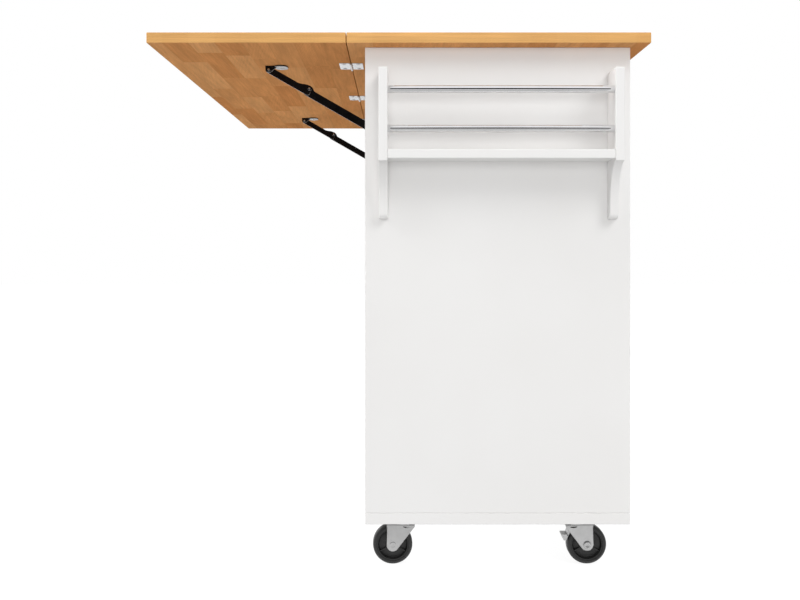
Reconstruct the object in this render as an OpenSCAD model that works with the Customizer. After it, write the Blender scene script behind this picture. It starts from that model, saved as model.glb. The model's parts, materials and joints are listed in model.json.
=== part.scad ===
// Drop leaf kitchen island on casters: a cabinet with two drawers over four doors,
// a worktop with a hinged leaf held by two folding stays, and a spice rack on one end.
// +X runs along the island away from the rack, +Y towards the leaf, and the fronts face -Y.
// The origin is on the floor under the middle of the whole outline, with the leaf raised.

/* [Worktop] */
// Height of the worktop above the floor
overall_h = 911.5; // [860:0.5:960]
// Length of the worktop and of the leaf
top_l = 1100; // [1060:1:1300]
// Depth of the fixed worktop
top_d = 509; // [500:1:560]
// Depth of the drop leaf
leaf_d = 333; // [300:1:400]
// Thickness of the worktop and of the leaf
top_t = 18; // [16:1:30]
// Gap between worktop and leaf
seam_gap = 1; // [0.6:0.1:2]
// Chamfer on the edges of the wood
wood_ease = 1.5; // [0.5:0.1:3]

/* [Cabinet] */
// Depth of the cabinet
body_d = 452; // [430:1:470]
// Worktop overhang at the rack end
rack_overhang = 34; // [20:1:50]
// Worktop overhang at the far end
far_overhang = 20; // [20:1:50]
// Worktop overhang at the back, on the leaf's side
back_overhang = 30; // [24:1:34]
// Thickness of the end panels and of the partition
panel_t = 18; // [15:1:22]
// Thickness of the bottom board
bottom_t = 19.3; // [15:0.1:22]
// Thickness of the back panel
back_t = 12; // [9:1:16]
// Distance of the back panel inside the rear edges
back_recess = 12; // [8:1:16]
// Chamfer on the edges of the lacquered boards
board_ease = 0.9; // [0.3:0.1:1.5]

/* [Fronts] */
// Thickness of the doors, the drawer fronts, the rails and the stile
front_t = 18; // [16:1:22]
// Gap round each door and drawer front
front_gap = 2; // [1.8:0.1:3]
// Height of the rail under the worktop
top_rail_h = 25; // [15:1:40]
// Height of the drawer openings
drawer_open_h = 150; // [130:1:180]
// Height of the rails between drawers and doors
mid_rail_h = 22; // [15:1:40]
// Width of the centre stile
stile_w = 44; // [40:1:60]
// Width of the frame on a door or drawer front
front_frame_w = 46; // [30:1:60]
// Depth of the recessed field in a front
front_field_d = 5; // [2:1:8]
// Diameter of a knob
knob_d = 26; // [18:1:32]
// Distance that a knob stands out
knob_l = 22; // [16:1:23]
// Distance of a door knob from the free edge
knob_inset = 23; // [20:1:40]
// Distance of a door knob below the door's top edge
knob_drop = 90; // [50:1:200]

/* [Drawers] */
// Gap between a drawer box and the back panel
drawer_back_gap = 30; // [20:1:100]
// Height of a drawer box
drawer_h = 110; // [80:1:120]
// Thickness of a drawer box's sides
drawer_side_t = 12; // [9:1:15]
// Thickness of a drawer box's bottom
drawer_bottom_t = 6; // [4:1:9]
// Distance of a drawer box above its opening's lower edge
drawer_lift = 12; // [8:1:20]
// Width of a side runner
runner_w = 12.5; // [11:0.5:14]
// Height of a side runner
runner_h = 42; // [30:1:45]
// Thickness of the runners' sheet
runner_t = 1.2; // [1:0.1:1.5]
// Distance of the runners behind the drawer front
runner_setback = 5; // [2:1:20]
// Distance of the runners' rear ends inside the drawer box
runner_end_gap = 25; // [10:1:60]
// Gap between a fixed channel and the drawer box
runner_side_gap = 3; // [2:0.5:4]
// Running gap in the runners
runner_gap = 0.3; // [0.2:0.1:0.5]

/* [Shelves] */
// Thickness of the cabinet shelves
shelf_t = 15; // [12:1:20]
// Height of the shelves above the bottom board
shelf_rise = 290; // [200:1:400]
// Distance of the shelves behind the fronts
shelf_setback = 25; // [10:1:60]
// Side gap of a shelf
shelf_gap = 1; // [0.5:0.1:2]
// Diameter of a shelf pin
pin_d = 5; // [4:0.5:7]
// Depth of a shelf pin in the board
pin_depth = 8; // [6:0.5:10]
// Length of a shelf pin's rest
pin_rest = 9; // [7:1:14]
// Distance of the shelf pins inside the shelf's ends
pin_inset = 45; // [20:1:90]

/* [Spice rack] */
// Overall width of the rack
rack_w = 404; // [300:1:420]
// Distance that the rack stands out of the end panel
rack_depth = 63; // [52:1:90]
// Thickness of the rack's side boards
rack_board_t = 15; // [12:1:20]
// Height of the side boards
rack_board_h = 248; // [220:1:320]
// Height of the straight part of the side boards
rack_straight_h = 154; // [152:1:180]
// Depth of the side boards at their tip
rack_tip_d = 18; // [12:1:30]
// Radius of the tip
rack_tip_r = 9; // [4:1:10]
// Distance of the side boards below the worktop
rack_drop = 45; // [30:1:80]
// Thickness of the rack's shelf
rack_shelf_t = 15; // [12:1:16]
// Distance of the shelf's upper face below the boards' top
rack_shelf_drop = 135; // [120:1:136]
// Diameter of the rods
rod_d = 12.7; // [8:0.1:16]
// Distance of the rods' axis behind the boards' front edge
rod_setback = 12; // [10:0.5:20]
// Distance of the upper rod below the boards' top
rod_1_drop = 35; // [20:1:50]
// Distance of the lower rod below the boards' top
rod_2_drop = 100; // [70:1:110]
// Depth of the rods' ends in the boards
rod_depth = 6; // [3:1:9]

/* [Leaf hinges] */
// Length of a leaf hinge
hinge_l = 57; // [54:1:80]
// Width of one hinge plate
hinge_w = 22; // [18:1:28]
// Thickness of a hinge plate
hinge_t = 1.2; // [1:0.1:2]
// Diameter of the barrel
barrel_d = 4.4; // [4:0.1:7]
// Diameter of the hinge pin
hinge_pin_d = 2.4; // [2:0.1:2.6]
// Distance of a hinge's screws from its axis
hinge_screw_reach = 13.6; // [12:0.1:14]
// Distance of a hinge's screws either side of its middle
hinge_screw_spread = 21.4; // [19:0.1:21.5]
// Distance of the first hinge from the rack end of the worktop
hinge_1_x = 196; // [150:1:250]
// Distance of the middle hinge
hinge_2_x = 563; // [450:1:600]
// Distance of the last hinge
hinge_3_x = 930; // [850:1:950]

/* [Folding stays] */
// Distance of the first stay from the rack end of the worktop
stay_1_x = 199; // [140:1:260]
// Distance of the second stay
stay_2_x = 892; // [800:1:940]
// Distance of the leaf pivot from the hinge axis
leaf_pivot_reach = 155; // [140:1:170]
// Distance of the leaf pivot below the leaf
leaf_pivot_drop = 7; // [7:0.5:12]
// Distance of the wall pivot from the hinge axis
wall_pivot_reach = 29; // [26:0.5:31]
// Distance of the wall pivot below the worktop
wall_pivot_drop = 112.5; // [100:0.5:130]
// Distance between the pivots of the upper link
upper_link_l = 83.5; // [75:0.5:95]
// Height of the elbow above the line between the outer pivots
elbow_rise = 7.5; // [4:0.5:9]
// Width of the upper link
upper_link_w = 12.4; // [10:0.2:13]
// Width of the lower link
lower_link_w = 14.4; // [11:0.2:15]
// Thickness of the links and feet
link_t = 2.5; // [2:0.1:3]
// Gap between the links
link_gap = 0.3; // [0.2:0.05:0.5]
// Diameter of the rivets
rivet_d = 5; // [4:0.5:6]
// Diameter of the rivets' heads
rivet_head_d = 8; // [7:0.5:9]
// Thickness of the rivets' heads
rivet_head_t = 1.5; // [1:0.1:2]
// Length of the leaf foot's oval pad, across the stay
leaf_pad_l = 38; // [34:1:46]
// Width of the pad
leaf_pad_w = 24.5; // [20:0.5:26]
// Distance of the pad's middle from the leaf pivot
leaf_pad_reach = 22.5; // [20.5:0.5:30]
// Distance of the pad's middle beside the stay
leaf_pad_shift = 5; // [3:0.5:8]
// Distance of the pad's screws either side of its middle
leaf_screw_spread = 11.5; // [11:0.5:12]
// Length of the foot on the back panel
wall_foot_l = 52; // [40:1:60]
// Width of the foot on the back panel
wall_foot_w = 16; // [14:1:20]
// Distance of the wall foot's screws from its ear's outer face
wall_screw_across = 9.3; // [8:0.1:10]
// Distance of the wall foot's screws above and below the pivot
wall_screw_spread = 17.7; // [15:0.1:18]

/* [Casters] */
// Height of the cabinet above the floor
caster_h = 80.5; // [80.5:0.5:95]
// Diameter of a wheel
wheel_d = 69; // [60:0.5:69]
// Width of a wheel
wheel_w = 24; // [18:1:26]
// Distance of the axle behind the swivel axis
trail = 20; // [18:0.5:24]
// Distance of the casters from the cabinet's ends
caster_end_inset = 50; // [45:1:80]
// Distance of the rear casters from the cabinet's back
caster_back_inset = 67; // [50:1:90]
// Distance of the front casters from the cabinet's front
caster_front_inset = 86; // [50:1:100]
// Thickness of the fork's sheet
fork_t = 1.6; // [1.4:0.1:1.8]
// Diameter of the axle's heads
axle_head_d = 13; // [12:0.5:16]
// Thickness of the axle's heads
axle_head_t = 1.6; // [1:0.1:2]
// Gap between wheel hub and fork
hub_gap = 0.5; // [0.3:0.1:0.8]
// Diameter of the axle
axle_d = 8; // [6:0.5:9]
// Length of the mounting plate
plate_l = 60; // [56:1:70]
// Width of the mounting plate
plate_w = 48; // [46:1:60]
// Distance between the plate's holes along it
plate_hole_l = 46; // [44:1:56]
// Distance between the plate's holes across it
plate_hole_w = 34; // [30:1:40]
// Direction of the rear caster at the rack end
turn_rear_rack = 91; // [0:1:359]
// Direction of the front caster at the rack end
turn_front_rack = 270; // [0:1:359]
// Direction of the rear caster at the far end
turn_rear_far = 82; // [0:1:359]
// Direction of the front caster at the far end
turn_front_far = 262; // [0:1:359]

/* [Door hinges] */
// Length of a door hinge
door_hinge_l = 50; // [40:1:60]
// Width of a door hinge's plates
door_hinge_w = 14; // [10:1:15]
// Thickness of a door hinge's plates
door_hinge_t = 0.8; // [0.6:0.1:0.8]
// Diameter of a door hinge's barrel
door_barrel_d = 4; // [3.6:0.1:4.4]
// Diameter of a door hinge's pin
door_pin_d = 2; // [1.6:0.1:2]
// Distance of the door hinges from the door's top and bottom
door_hinge_inset = 90; // [60:1:120]

/* [Screws] */
// Diameter of the screws
screw_d = 4; // [3:0.5:4]
// Diameter of the screws' heads
screw_head_d = 7.6; // [6:0.1:7.8]
// Thickness of the screws' heads
screw_head_t = 1.3; // [1:0.1:1.5]
// Depth of the screws in the board
screw_depth = 10; // [6:1:11]

/* [Fits] */
// Radial gap of a turning fit
turn_fit = 0.05; // [0.02:0.01:0.08]
// Gap between moving faces that don't touch
face_gap = 0.3; // [0.2:0.05:0.4]
// Gap round a riveted axle in its fork
rivet_fit = 0.05; // [0.02:0.01:0.08]

/* [Hidden] */
$fn = 64;

wood_colour = [0.80, 0.58, 0.36];
white_colour = [0.93, 0.92, 0.91];
steel_colour = [0.72, 0.73, 0.75];
black_colour = [0.07, 0.07, 0.08];

// Outline of the worktop and leaf
rack_reach = rack_depth - rack_overhang;
top_x0 = -(top_l + rack_reach) / 2 + rack_reach;
top_y0 = -(top_d + seam_gap + leaf_d) / 2;
seam_y = top_y0 + top_d;
leaf_y0 = seam_y + seam_gap;
under_z = overall_h - top_t;

// Cabinet
body_l = top_l - rack_overhang - far_overhang;
body_x0 = top_x0 + rack_overhang;
body_x1 = body_x0 + body_l;
body_y1 = seam_y - back_overhang;
body_y0 = body_y1 - body_d;
inner_x0 = body_x0 + panel_t;
inner_x1 = body_x1 - panel_t;
inner_z0 = caster_h + bottom_t;
inner_h = under_z - inner_z0;
middle_x = (body_x0 + body_x1) / 2;
back_y0 = body_y1 - back_recess - back_t;
behind_front_y = body_y0 + front_t;

// Openings in the front
bay_w = (inner_x1 - inner_x0 - stile_w) / 2;
bay_x = [inner_x0, middle_x + stile_w / 2];
drawer_z1 = under_z - top_rail_h;
drawer_z0 = drawer_z1 - drawer_open_h;
door_z1 = drawer_z0 - mid_rail_h;
door_h = door_z1 - inner_z0 - 2 * front_gap;
door_w = (bay_w - 3 * front_gap) / 2;

// Each door: lower left corner in X, and whether its hinges are on the left
doors = [
    [bay_x[0] + front_gap, true],
    [bay_x[0] + 2 * front_gap + door_w, false],
    [bay_x[1] + front_gap, true],
    [bay_x[1] + 2 * front_gap + door_w, false]
];
door_axis_y = body_y0 - door_barrel_d / 2 - face_gap;

// Drawers
drawer_l = back_y0 - behind_front_y - drawer_back_gap;
drawer_w = bay_w - 2 * runner_w;
drawer_box_z = drawer_z0 + drawer_lift;
runner_z = drawer_box_z + (drawer_h - runner_h) / 2;
runner_y0 = behind_front_y + runner_setback;
runner_l = drawer_l - runner_setback - runner_end_gap;
packer_w = (stile_w - panel_t) / 2;
packer_margin = 4;

// Shelves
compartment_w = middle_x - panel_t / 2 - inner_x0;
shelf_z = inner_z0 + shelf_rise;
shelf_y0 = behind_front_y + shelf_setback;
shelf_d = back_y0 - shelf_y0 - shelf_gap;
pin_y = [shelf_y0 + pin_inset, shelf_y0 + shelf_d - pin_inset];
pin_z = shelf_z - pin_d / 2;

// Rack
rack_y0 = (body_y0 + body_y1) / 2 - rack_w / 2;
rack_z1 = under_z - rack_drop;
rod_x = body_x0 - rack_depth + rod_setback;
rod_z = [rack_z1 - rod_1_drop, rack_z1 - rod_2_drop];

// Leaf hinges
hinge_x = [top_x0 + hinge_1_x, top_x0 + hinge_2_x, top_x0 + hinge_3_x];
hinge_y = seam_y + seam_gap / 2;
hinge_z = under_z - barrel_d / 2 - face_gap;
hinge_knuckles = 5;

// Folding stays, in the plane of Y and Z
stay_x = [top_x0 + stay_1_x, top_x0 + stay_2_x];
leaf_pivot = [hinge_y + leaf_pivot_reach, under_z - leaf_pivot_drop];
wall_pivot = [hinge_y - wall_pivot_reach, under_z - wall_pivot_drop];
stay_line = (wall_pivot - leaf_pivot) / norm(wall_pivot - leaf_pivot);
stay_up = [-stay_line.y, stay_line.x];
elbow_along = sqrt(upper_link_l * upper_link_l - elbow_rise * elbow_rise);
elbow_foot = leaf_pivot + elbow_along * stay_line;
elbow = elbow_foot + elbow_rise * stay_up * (stay_up.y > 0 ? 1 : -1);
elbow_r = 5;
// Layers along X: foot on the leaf, upper link, lower link, foot on the wall
layer_upper = -link_gap / 2 - link_t;
layer_lower = link_gap / 2;
layer_leaf_foot = layer_upper - link_gap - link_t;
layer_wall_foot = layer_lower + link_t + link_gap;
wall_y = body_y1 - back_recess;
leaf_pad_y = leaf_pivot.x - leaf_pad_reach;
ear_hold = 4.75;

// Casters: swivel axis, direction in which the wheel trails
casters = [
    [body_x0 + caster_end_inset, body_y1 - caster_back_inset, turn_rear_rack],
    [body_x0 + caster_end_inset, body_y0 + caster_front_inset, turn_front_rack],
    [body_x1 - caster_end_inset, body_y1 - caster_back_inset, turn_rear_far],
    [body_x1 - caster_end_inset, body_y0 + caster_front_inset, turn_front_far]
];
plate_t = 2.5;
wheel_r = wheel_d / 2;
cheek_in = wheel_w / 2 + hub_gap;
cheek_out = cheek_in + fork_t;
race_stack = 6.7;
crown_z1 = caster_h - plate_t - race_stack;
crown_z0 = crown_z1 - fork_t;
ring_h = 3.9;
ring_r = 20;
king_r = 4;
king_head_r = 5.5;
king_head_h = 2;
boss_r = 10.5;
cheek_lead = 18.1;
lead_drop = 1.5;
slant_sink = 0.05;

// Brake lever: pivot and the corners of its pad, in front of the tread
lever_pivot = [-9, crown_z0 - 7.7];
lever_r = 3;
lever_pin_r = 1.6;
lever_arm_r = 1.6;
lever_side_gap = 1;
pad_corner_r = 1.4;
pad_corners = [
    lever_pivot + [-4.4, -11.1], lever_pivot + [-14, -11.1],
    lever_pivot + [-10.6, -19.1], lever_pivot + [-8, -18.9]
];

// Wheel section, from the hub out
hub_r = 10;
hub_half = wheel_w / 2 + hub_gap - face_gap;
web_half = 3;
rim_in = wheel_r - 9;
rim_ease = 1;
shoulder_r = wheel_r - 4;
tread_edge_r = wheel_r - 0.6;
tread_half = wheel_w / 2 - 5;

// Knob section: foot, neck and head
knob_foot_r = knob_d * 0.27;
knob_foot_h = 2;
knob_neck_r = knob_d * 0.2;
knob_neck_z0 = 4;
knob_neck_z1 = knob_l * 0.45;
knob_head = [
    [knob_d * 0.42, knob_l * 0.6], [knob_d * 0.5, knob_l * 0.75],
    [knob_d * 0.46, knob_l * 0.9], [knob_d * 0.34, knob_l]
];

// Corners of a rectangle with its four corners cut off
function eased(w, h, c) = [
    [c, 0], [w - c, 0], [w, c], [w, h - c],
    [w - c, h], [c, h], [0, h - c], [0, c]
];

// Direction from either centre to where a common tangent touches, on the given side
function tangent(p, q, rp, rq, side) =
    let (
        run = q - p,
        span = norm(run),
        lean = acos((rp - rq) / span),
        turn = atan2(run.y, run.x) + side * lean
    )
    [cos(turn), sin(turn)];

// A block with all its edges chamfered
module block(corner, size, ease) {
    translate(corner)
        intersection() {
            linear_extrude(size.z)
                polygon(eased(size.x, size.y, ease));
            translate([0, size.y, 0])
                rotate([90, 0, 0])
                    linear_extrude(size.y)
                        polygon(eased(size.x, size.z, ease));
            rotate([90, 0, 90])
                linear_extrude(size.x)
                    polygon(eased(size.y, size.z, ease));
        }
}

// A cylinder along X, from x0 to x1, round a point in Y and Z
module bar_x(x0, x1, at, r) {
    translate([x0, at.x, at.y])
        rotate([0, 90, 0])
            cylinder(r = r, h = x1 - x0);
}

// A flat outline with a round end at p and another at q
module strap(p, q, rp, rq) {
    left = tangent(p, q, rp, rq, 1);
    right = tangent(p, q, rp, rq, -1);
    translate(p)
        circle(r = rp);
    translate(q)
        circle(r = rq);
    polygon([p + rp * left, p + rp * right, q + rq * right, q + rq * left]);
}

// A sheet outline in Y and Z, from x0 along X
module sheet_x(x0, t) {
    translate([x0, 0, 0])
        rotate([90, 0, 90])
            linear_extrude(t)
                children();
}

// A screw whose shank points along +Z from the face under its head
module screw(through) {
    cylinder(d = screw_d, h = through + screw_depth);
    translate([0, 0, -screw_head_t])
        cylinder(d = screw_head_d, h = screw_head_t);
}

// ---- Worktop and leaf ----

module worktop() {
    color(wood_colour)
        difference() {
            block([top_x0, top_y0, under_z], [top_l, top_d, top_t], wood_ease);
            hinge_screws(-1);
        }
}

module drop_leaf() {
    color(wood_colour)
        difference() {
            block([top_x0, leaf_y0, under_z], [top_l, leaf_d, top_t], wood_ease);
            hinge_screws(1);
            leaf_foot_screws();
        }
}

// The screws of all leaf hinges, on one side of the seam
module hinge_screws(side) {
    for (x = hinge_x)
        for (along = [-1, 1])
            translate([
                x + along * hinge_screw_spread,
                hinge_y + side * hinge_screw_reach,
                under_z - hinge_t
            ])
                screw(hinge_t);
}

// Knuckles of one side: even ones on the worktop's plate, odd ones on the leaf's
module knuckles(x, first, length, count, at, r) {
    step = length / count;
    for (i = [first:2:count - 1])
        bar_x(x - length / 2 + i * step + (i > 0 ? face_gap / 2 : 0),
              x - length / 2 + (i + 1) * step - (i < count - 1 ? face_gap / 2 : 0), at, r);
}

// One hinge plate with its knuckles
module hinge_plate(x, side) {
    first = side < 0 ? 0 : 1;
    step = hinge_l / hinge_knuckles;
    clear = barrel_d / 2 + face_gap;
    difference() {
        translate([x - hinge_l / 2, side < 0 ? hinge_y - hinge_w : hinge_y, under_z - hinge_t])
            cube([hinge_l, hinge_w, hinge_t]);
        for (i = [1 - first:2:hinge_knuckles - 1])
            translate([x - hinge_l / 2 + i * step - face_gap / 2, hinge_y - clear, under_z - barrel_d])
                cube([step + face_gap, 2 * clear, 2 * barrel_d]);
        for (along = [-1, 1])
            translate([
                x + along * hinge_screw_spread,
                hinge_y + side * hinge_screw_reach,
                under_z - 2 * hinge_t
            ])
                cylinder(d = screw_d, h = 3 * hinge_t);
    }
    knuckles(x, first, hinge_l, hinge_knuckles, [hinge_y, hinge_z], barrel_d / 2);
}

module top_hinge_plates() {
    color(steel_colour)
        for (x = hinge_x) {
            hinge_plate(x, -1);
            bar_x(x - hinge_l / 2, x + hinge_l / 2, [hinge_y, hinge_z], hinge_pin_d / 2);
        }
}

module leaf_hinge_plates() {
    color(steel_colour)
        for (x = hinge_x)
            difference() {
                hinge_plate(x, 1);
                bar_x(x - hinge_l, x + hinge_l, [hinge_y, hinge_z], hinge_pin_d / 2 + turn_fit);
            }
}

// ---- Folding stays ----

// A foot under the leaf: an oval pad across the stay, and an ear that carries the pivot
module leaf_foot(x) {
    ear_x = x + layer_leaf_foot;
    pad_r = leaf_pad_w / 2;
    pad_end = [leaf_pad_l / 2 - pad_r, 0];
    difference() {
        union() {
            translate([x + leaf_pad_shift, leaf_pad_y, under_z - link_t])
                linear_extrude(link_t)
                    strap(-pad_end, pad_end, pad_r, pad_r);
            sheet_x(ear_x, link_t)
                strap(leaf_pivot, [leaf_pad_y + pad_r - ear_hold, under_z - link_t / 2],
                      upper_link_w / 2, link_t / 2);
        }
        for (side = [-1, 1])
            translate(leaf_foot_screw_at(x, side) - [0, 0, link_t])
                cylinder(d = screw_d, h = 3 * link_t);
    }
    bar_x(ear_x, x + layer_lower + rivet_head_t, leaf_pivot, rivet_d / 2);
    bar_x(x + layer_lower, x + layer_lower + rivet_head_t, leaf_pivot, rivet_head_d / 2);
    bar_x(ear_x - rivet_head_t, ear_x, leaf_pivot, rivet_head_d / 2);
}

// Place of a screw in a leaf foot's pad
function leaf_foot_screw_at(x, side) = [
    x + leaf_pad_shift + side * leaf_screw_spread,
    leaf_pad_y,
    under_z - link_t
];

module leaf_foot_screws() {
    for (x = stay_x)
        for (side = [-1, 1])
            translate(leaf_foot_screw_at(x, side))
                screw(link_t);
}

module stay_leaf_feet() {
    color(black_colour)
        for (x = stay_x)
            leaf_foot(x);
}

module leaf_screws() {
    color(steel_colour) {
        hinge_screws(1);
        leaf_foot_screws();
    }
}

// A foot plate on the back panel with an ear for the wall pivot
module wall_foot(x) {
    ear_x = x + layer_wall_foot;
    difference() {
        union() {
            translate([ear_x, wall_y, wall_pivot.y - wall_foot_l / 2])
                cube([wall_foot_w, link_t, wall_foot_l]);
            sheet_x(ear_x, link_t)
                intersection() {
                    strap(wall_pivot, [wall_y, wall_pivot.y], lower_link_w / 2, lower_link_w / 2);
                    translate([wall_y, wall_pivot.y - wall_foot_l / 2])
                        square([2 * wall_pivot_reach, wall_foot_l]);
                }
        }
        for (side = [-1, 1])
            translate([
                ear_x + wall_screw_across,
                wall_y - link_t,
                wall_pivot.y + side * wall_screw_spread
            ])
                rotate([-90, 0, 0])
                    cylinder(d = screw_d, h = 3 * link_t);
    }
    inner_x = x + layer_upper + link_t;
    bar_x(inner_x - rivet_head_t, ear_x + link_t, wall_pivot, rivet_d / 2);
    bar_x(inner_x - rivet_head_t, inner_x, wall_pivot, rivet_head_d / 2);
    bar_x(ear_x + link_t, ear_x + link_t + rivet_head_t, wall_pivot, rivet_head_d / 2);
}

module wall_foot_screws() {
    for (x = stay_x)
        for (side = [-1, 1])
            translate([
                x + layer_wall_foot + wall_screw_across,
                wall_y + link_t,
                wall_pivot.y + side * wall_screw_spread
            ])
                rotate([90, 0, 0])
                    screw(link_t);
}

module stay_wall_feet() {
    color(black_colour)
        for (x = stay_x)
            wall_foot(x);
}

// The upper link turns on the leaf's foot. Its half of the elbow rivet ends inside it.
module upper_link(x) {
    color(black_colour)
        difference() {
            union() {
                sheet_x(x + layer_upper, link_t) {
                    strap(leaf_pivot, elbow_foot, upper_link_w / 2, upper_link_w / 2);
                    strap(elbow, elbow_foot, elbow_r, upper_link_w / 2);
                }
                bar_x(x + layer_upper - rivet_head_t, x + layer_upper, elbow, rivet_head_d / 2);
            }
            bar_x(x - 2 * link_t, x + link_t, leaf_pivot, rivet_d / 2 + turn_fit);
        }
}

// The lower link turns on the wall foot and carries the other half of the elbow rivet.
module lower_link(x) {
    outer_x = x + layer_lower + link_t;
    color(black_colour)
        difference() {
            union() {
                sheet_x(x + layer_lower, link_t) {
                    strap(wall_pivot, elbow_foot, lower_link_w / 2, lower_link_w / 2);
                    strap(elbow, elbow_foot, elbow_r, lower_link_w / 2);
                }
                bar_x(outer_x, outer_x + rivet_head_t, elbow, rivet_head_d / 2);
            }
            bar_x(x - link_t, x + 2 * link_t, wall_pivot, rivet_d / 2 + turn_fit);
        }
}

// ---- Cabinet ----

// Bores for the shelf pins in a board whose inner face is at x
module pin_bores(x, side) {
    for (y = pin_y)
        bar_x(min(x, x + side * pin_depth), max(x, x + side * pin_depth), [y, pin_z], pin_d / 2);
}

module end_panel(x) {
    block([x, body_y0, inner_z0], [panel_t, body_d, inner_h], board_ease);
}

module rack_end_panel() {
    color(white_colour)
        difference() {
            end_panel(body_x0);
            pin_bores(inner_x0, -1);
        }
}

module far_end_panel() {
    color(white_colour)
        difference() {
            end_panel(inner_x1);
            pin_bores(inner_x1, 1);
        }
}

module bottom_panel() {
    color(white_colour)
        difference() {
            block([body_x0, body_y0, caster_h], [body_l, body_d, bottom_t], board_ease);
            caster_screws();
        }
}

module back_panel() {
    color(white_colour)
        difference() {
            translate([inner_x0, back_y0, inner_z0])
                cube([inner_x1 - inner_x0, back_t, inner_h]);
            wall_foot_screws();
        }
}

module centre_partition() {
    x = middle_x - panel_t / 2;
    color(white_colour)
        difference() {
            translate([x, behind_front_y, inner_z0])
                cube([panel_t, back_y0 - behind_front_y, inner_h]);
            pin_bores(x, 1);
            pin_bores(x + panel_t, -1);
        }
}

module centre_stile() {
    color(white_colour)
        block([middle_x - stile_w / 2, body_y0, inner_z0],
              [stile_w, front_t, drawer_z1 - inner_z0], board_ease);
}

module top_rail() {
    color(white_colour)
        block([inner_x0, body_y0, drawer_z1],
              [inner_x1 - inner_x0, front_t, top_rail_h], board_ease);
}

module middle_rails() {
    color(white_colour)
        for (x = bay_x)
            block([x, body_y0, door_z1], [bay_w, front_t, mid_rail_h], board_ease);
}

// Strips that bring the partition's sides out to the stile's width, for the runners
module runner_packers() {
    color(white_colour)
        for (x = [middle_x - stile_w / 2, middle_x + panel_t / 2])
            translate([x, behind_front_y, runner_z - packer_margin])
                cube([packer_w, back_y0 - behind_front_y, runner_h + 2 * packer_margin]);
}

module cabinet_shelves() {
    color(white_colour)
        for (x = [inner_x0, middle_x + panel_t / 2])
            block([x + shelf_gap, shelf_y0, shelf_z],
                  [compartment_w - 2 * shelf_gap, shelf_d, shelf_t], board_ease);
}

// A pin in its bore, with a flat rest for the shelf
module shelf_pin(x, y, side) {
    bar_x(min(x, x - side * pin_depth), max(x, x - side * pin_depth), [y, pin_z], pin_d / 2);
    translate([side > 0 ? x : x - pin_rest, y - pin_d, shelf_z - pin_d])
        cube([pin_rest, 2 * pin_d, pin_d]);
}

module shelf_pins() {
    color(steel_colour)
        for (y = pin_y) {
            shelf_pin(inner_x0, y, 1);
            shelf_pin(middle_x - panel_t / 2, y, -1);
            shelf_pin(middle_x + panel_t / 2, y, 1);
            shelf_pin(inner_x1, y, -1);
        }
}

// ---- Spice rack ----

// Side view of a rack board: straight above, then a hollow curve down to a round tip.
// X is the distance from the end panel, Y the height above the board's lower end.
module rack_profile() {
    straight_z = rack_board_h - rack_straight_h;
    curve_z = rack_tip_r;
    curve = [
        for (a = [0:6:90])
            [rack_depth - (rack_depth - rack_tip_d) * sin(a), curve_z + (straight_z - curve_z) * cos(a)]
    ];
    tip = [
        for (a = [15:15:90])
            [rack_tip_d - rack_tip_r * (1 - cos(a)), rack_tip_r * (1 - sin(a))]
    ];
    polygon(concat([[0, rack_board_h], [rack_depth, rack_board_h]], curve, tip, [[0, 0]]));
}

// A side board, with the rods' ends let into the face that looks at the other board
module rack_board(y, inside) {
    difference() {
        translate([body_x0, y + rack_board_t, rack_z1 - rack_board_h])
            rotate([90, 0, 0])
                linear_extrude(rack_board_t)
                    mirror([1, 0])
                        rack_profile();
        for (z = rod_z)
            translate([rod_x, inside > 0 ? y + rack_board_t - rod_depth : y, z])
                rotate([-90, 0, 0])
                    cylinder(d = rod_d, h = rod_depth);
    }
}

module rack_board_left() {
    color(white_colour)
        rack_board(rack_y0 + rack_w - rack_board_t, -1);
}

module rack_board_right() {
    color(white_colour)
        rack_board(rack_y0, 1);
}

module rack_shelf() {
    color(white_colour)
        translate([body_x0 - rack_depth, rack_y0 + rack_board_t, rack_z1 - rack_shelf_drop - rack_shelf_t])
            cube([rack_depth, rack_w - 2 * rack_board_t, rack_shelf_t]);
}

module rack_rods() {
    color(steel_colour)
        for (z = rod_z)
            translate([rod_x, rack_y0 + rack_board_t - rod_depth, z])
                rotate([-90, 0, 0])
                    cylinder(d = rod_d, h = rack_w - 2 * rack_board_t + 2 * rod_depth);
}

// ---- Doors and drawers ----

// A front with a raised frame round a recessed field
module front_panel(x, z, w, h) {
    difference() {
        block([x, body_y0, z], [w, front_t, h], board_ease);
        translate([x + front_frame_w, body_y0 - front_t, z + front_frame_w])
            cube([w - 2 * front_frame_w, front_t + front_field_d, h - 2 * front_frame_w]);
    }
}

// A knob on a round foot, standing out of the front face
module knob(x, z, y) {
    color(steel_colour)
        translate([x, y, z])
            rotate([90, 0, 0])
                rotate_extrude()
                    polygon(concat(
                        [[0, 0], [knob_foot_r, 0], [knob_foot_r, knob_foot_h],
                         [knob_neck_r, knob_neck_z0], [knob_neck_r, knob_neck_z1]],
                        knob_head, [[0, knob_l]]
                    ));
}

module door(i) {
    color(white_colour)
        front_panel(doors[i][0], inner_z0 + front_gap, door_w, door_h);
}

module door_knob(i) {
    x = doors[i][1] ? doors[i][0] + door_w - knob_inset : doors[i][0] + knob_inset;
    knob(x, door_z1 - front_gap - knob_drop, body_y0);
}

// X of a door's hinge axis, in the middle of the gap beside it
function door_axis_x(i) =
    doors[i][1] ? doors[i][0] - front_gap / 2 : doors[i][0] + door_w + front_gap / 2;

door_hinge_z = [
    inner_z0 + front_gap + door_hinge_inset,
    door_z1 - front_gap - door_hinge_inset
];

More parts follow.
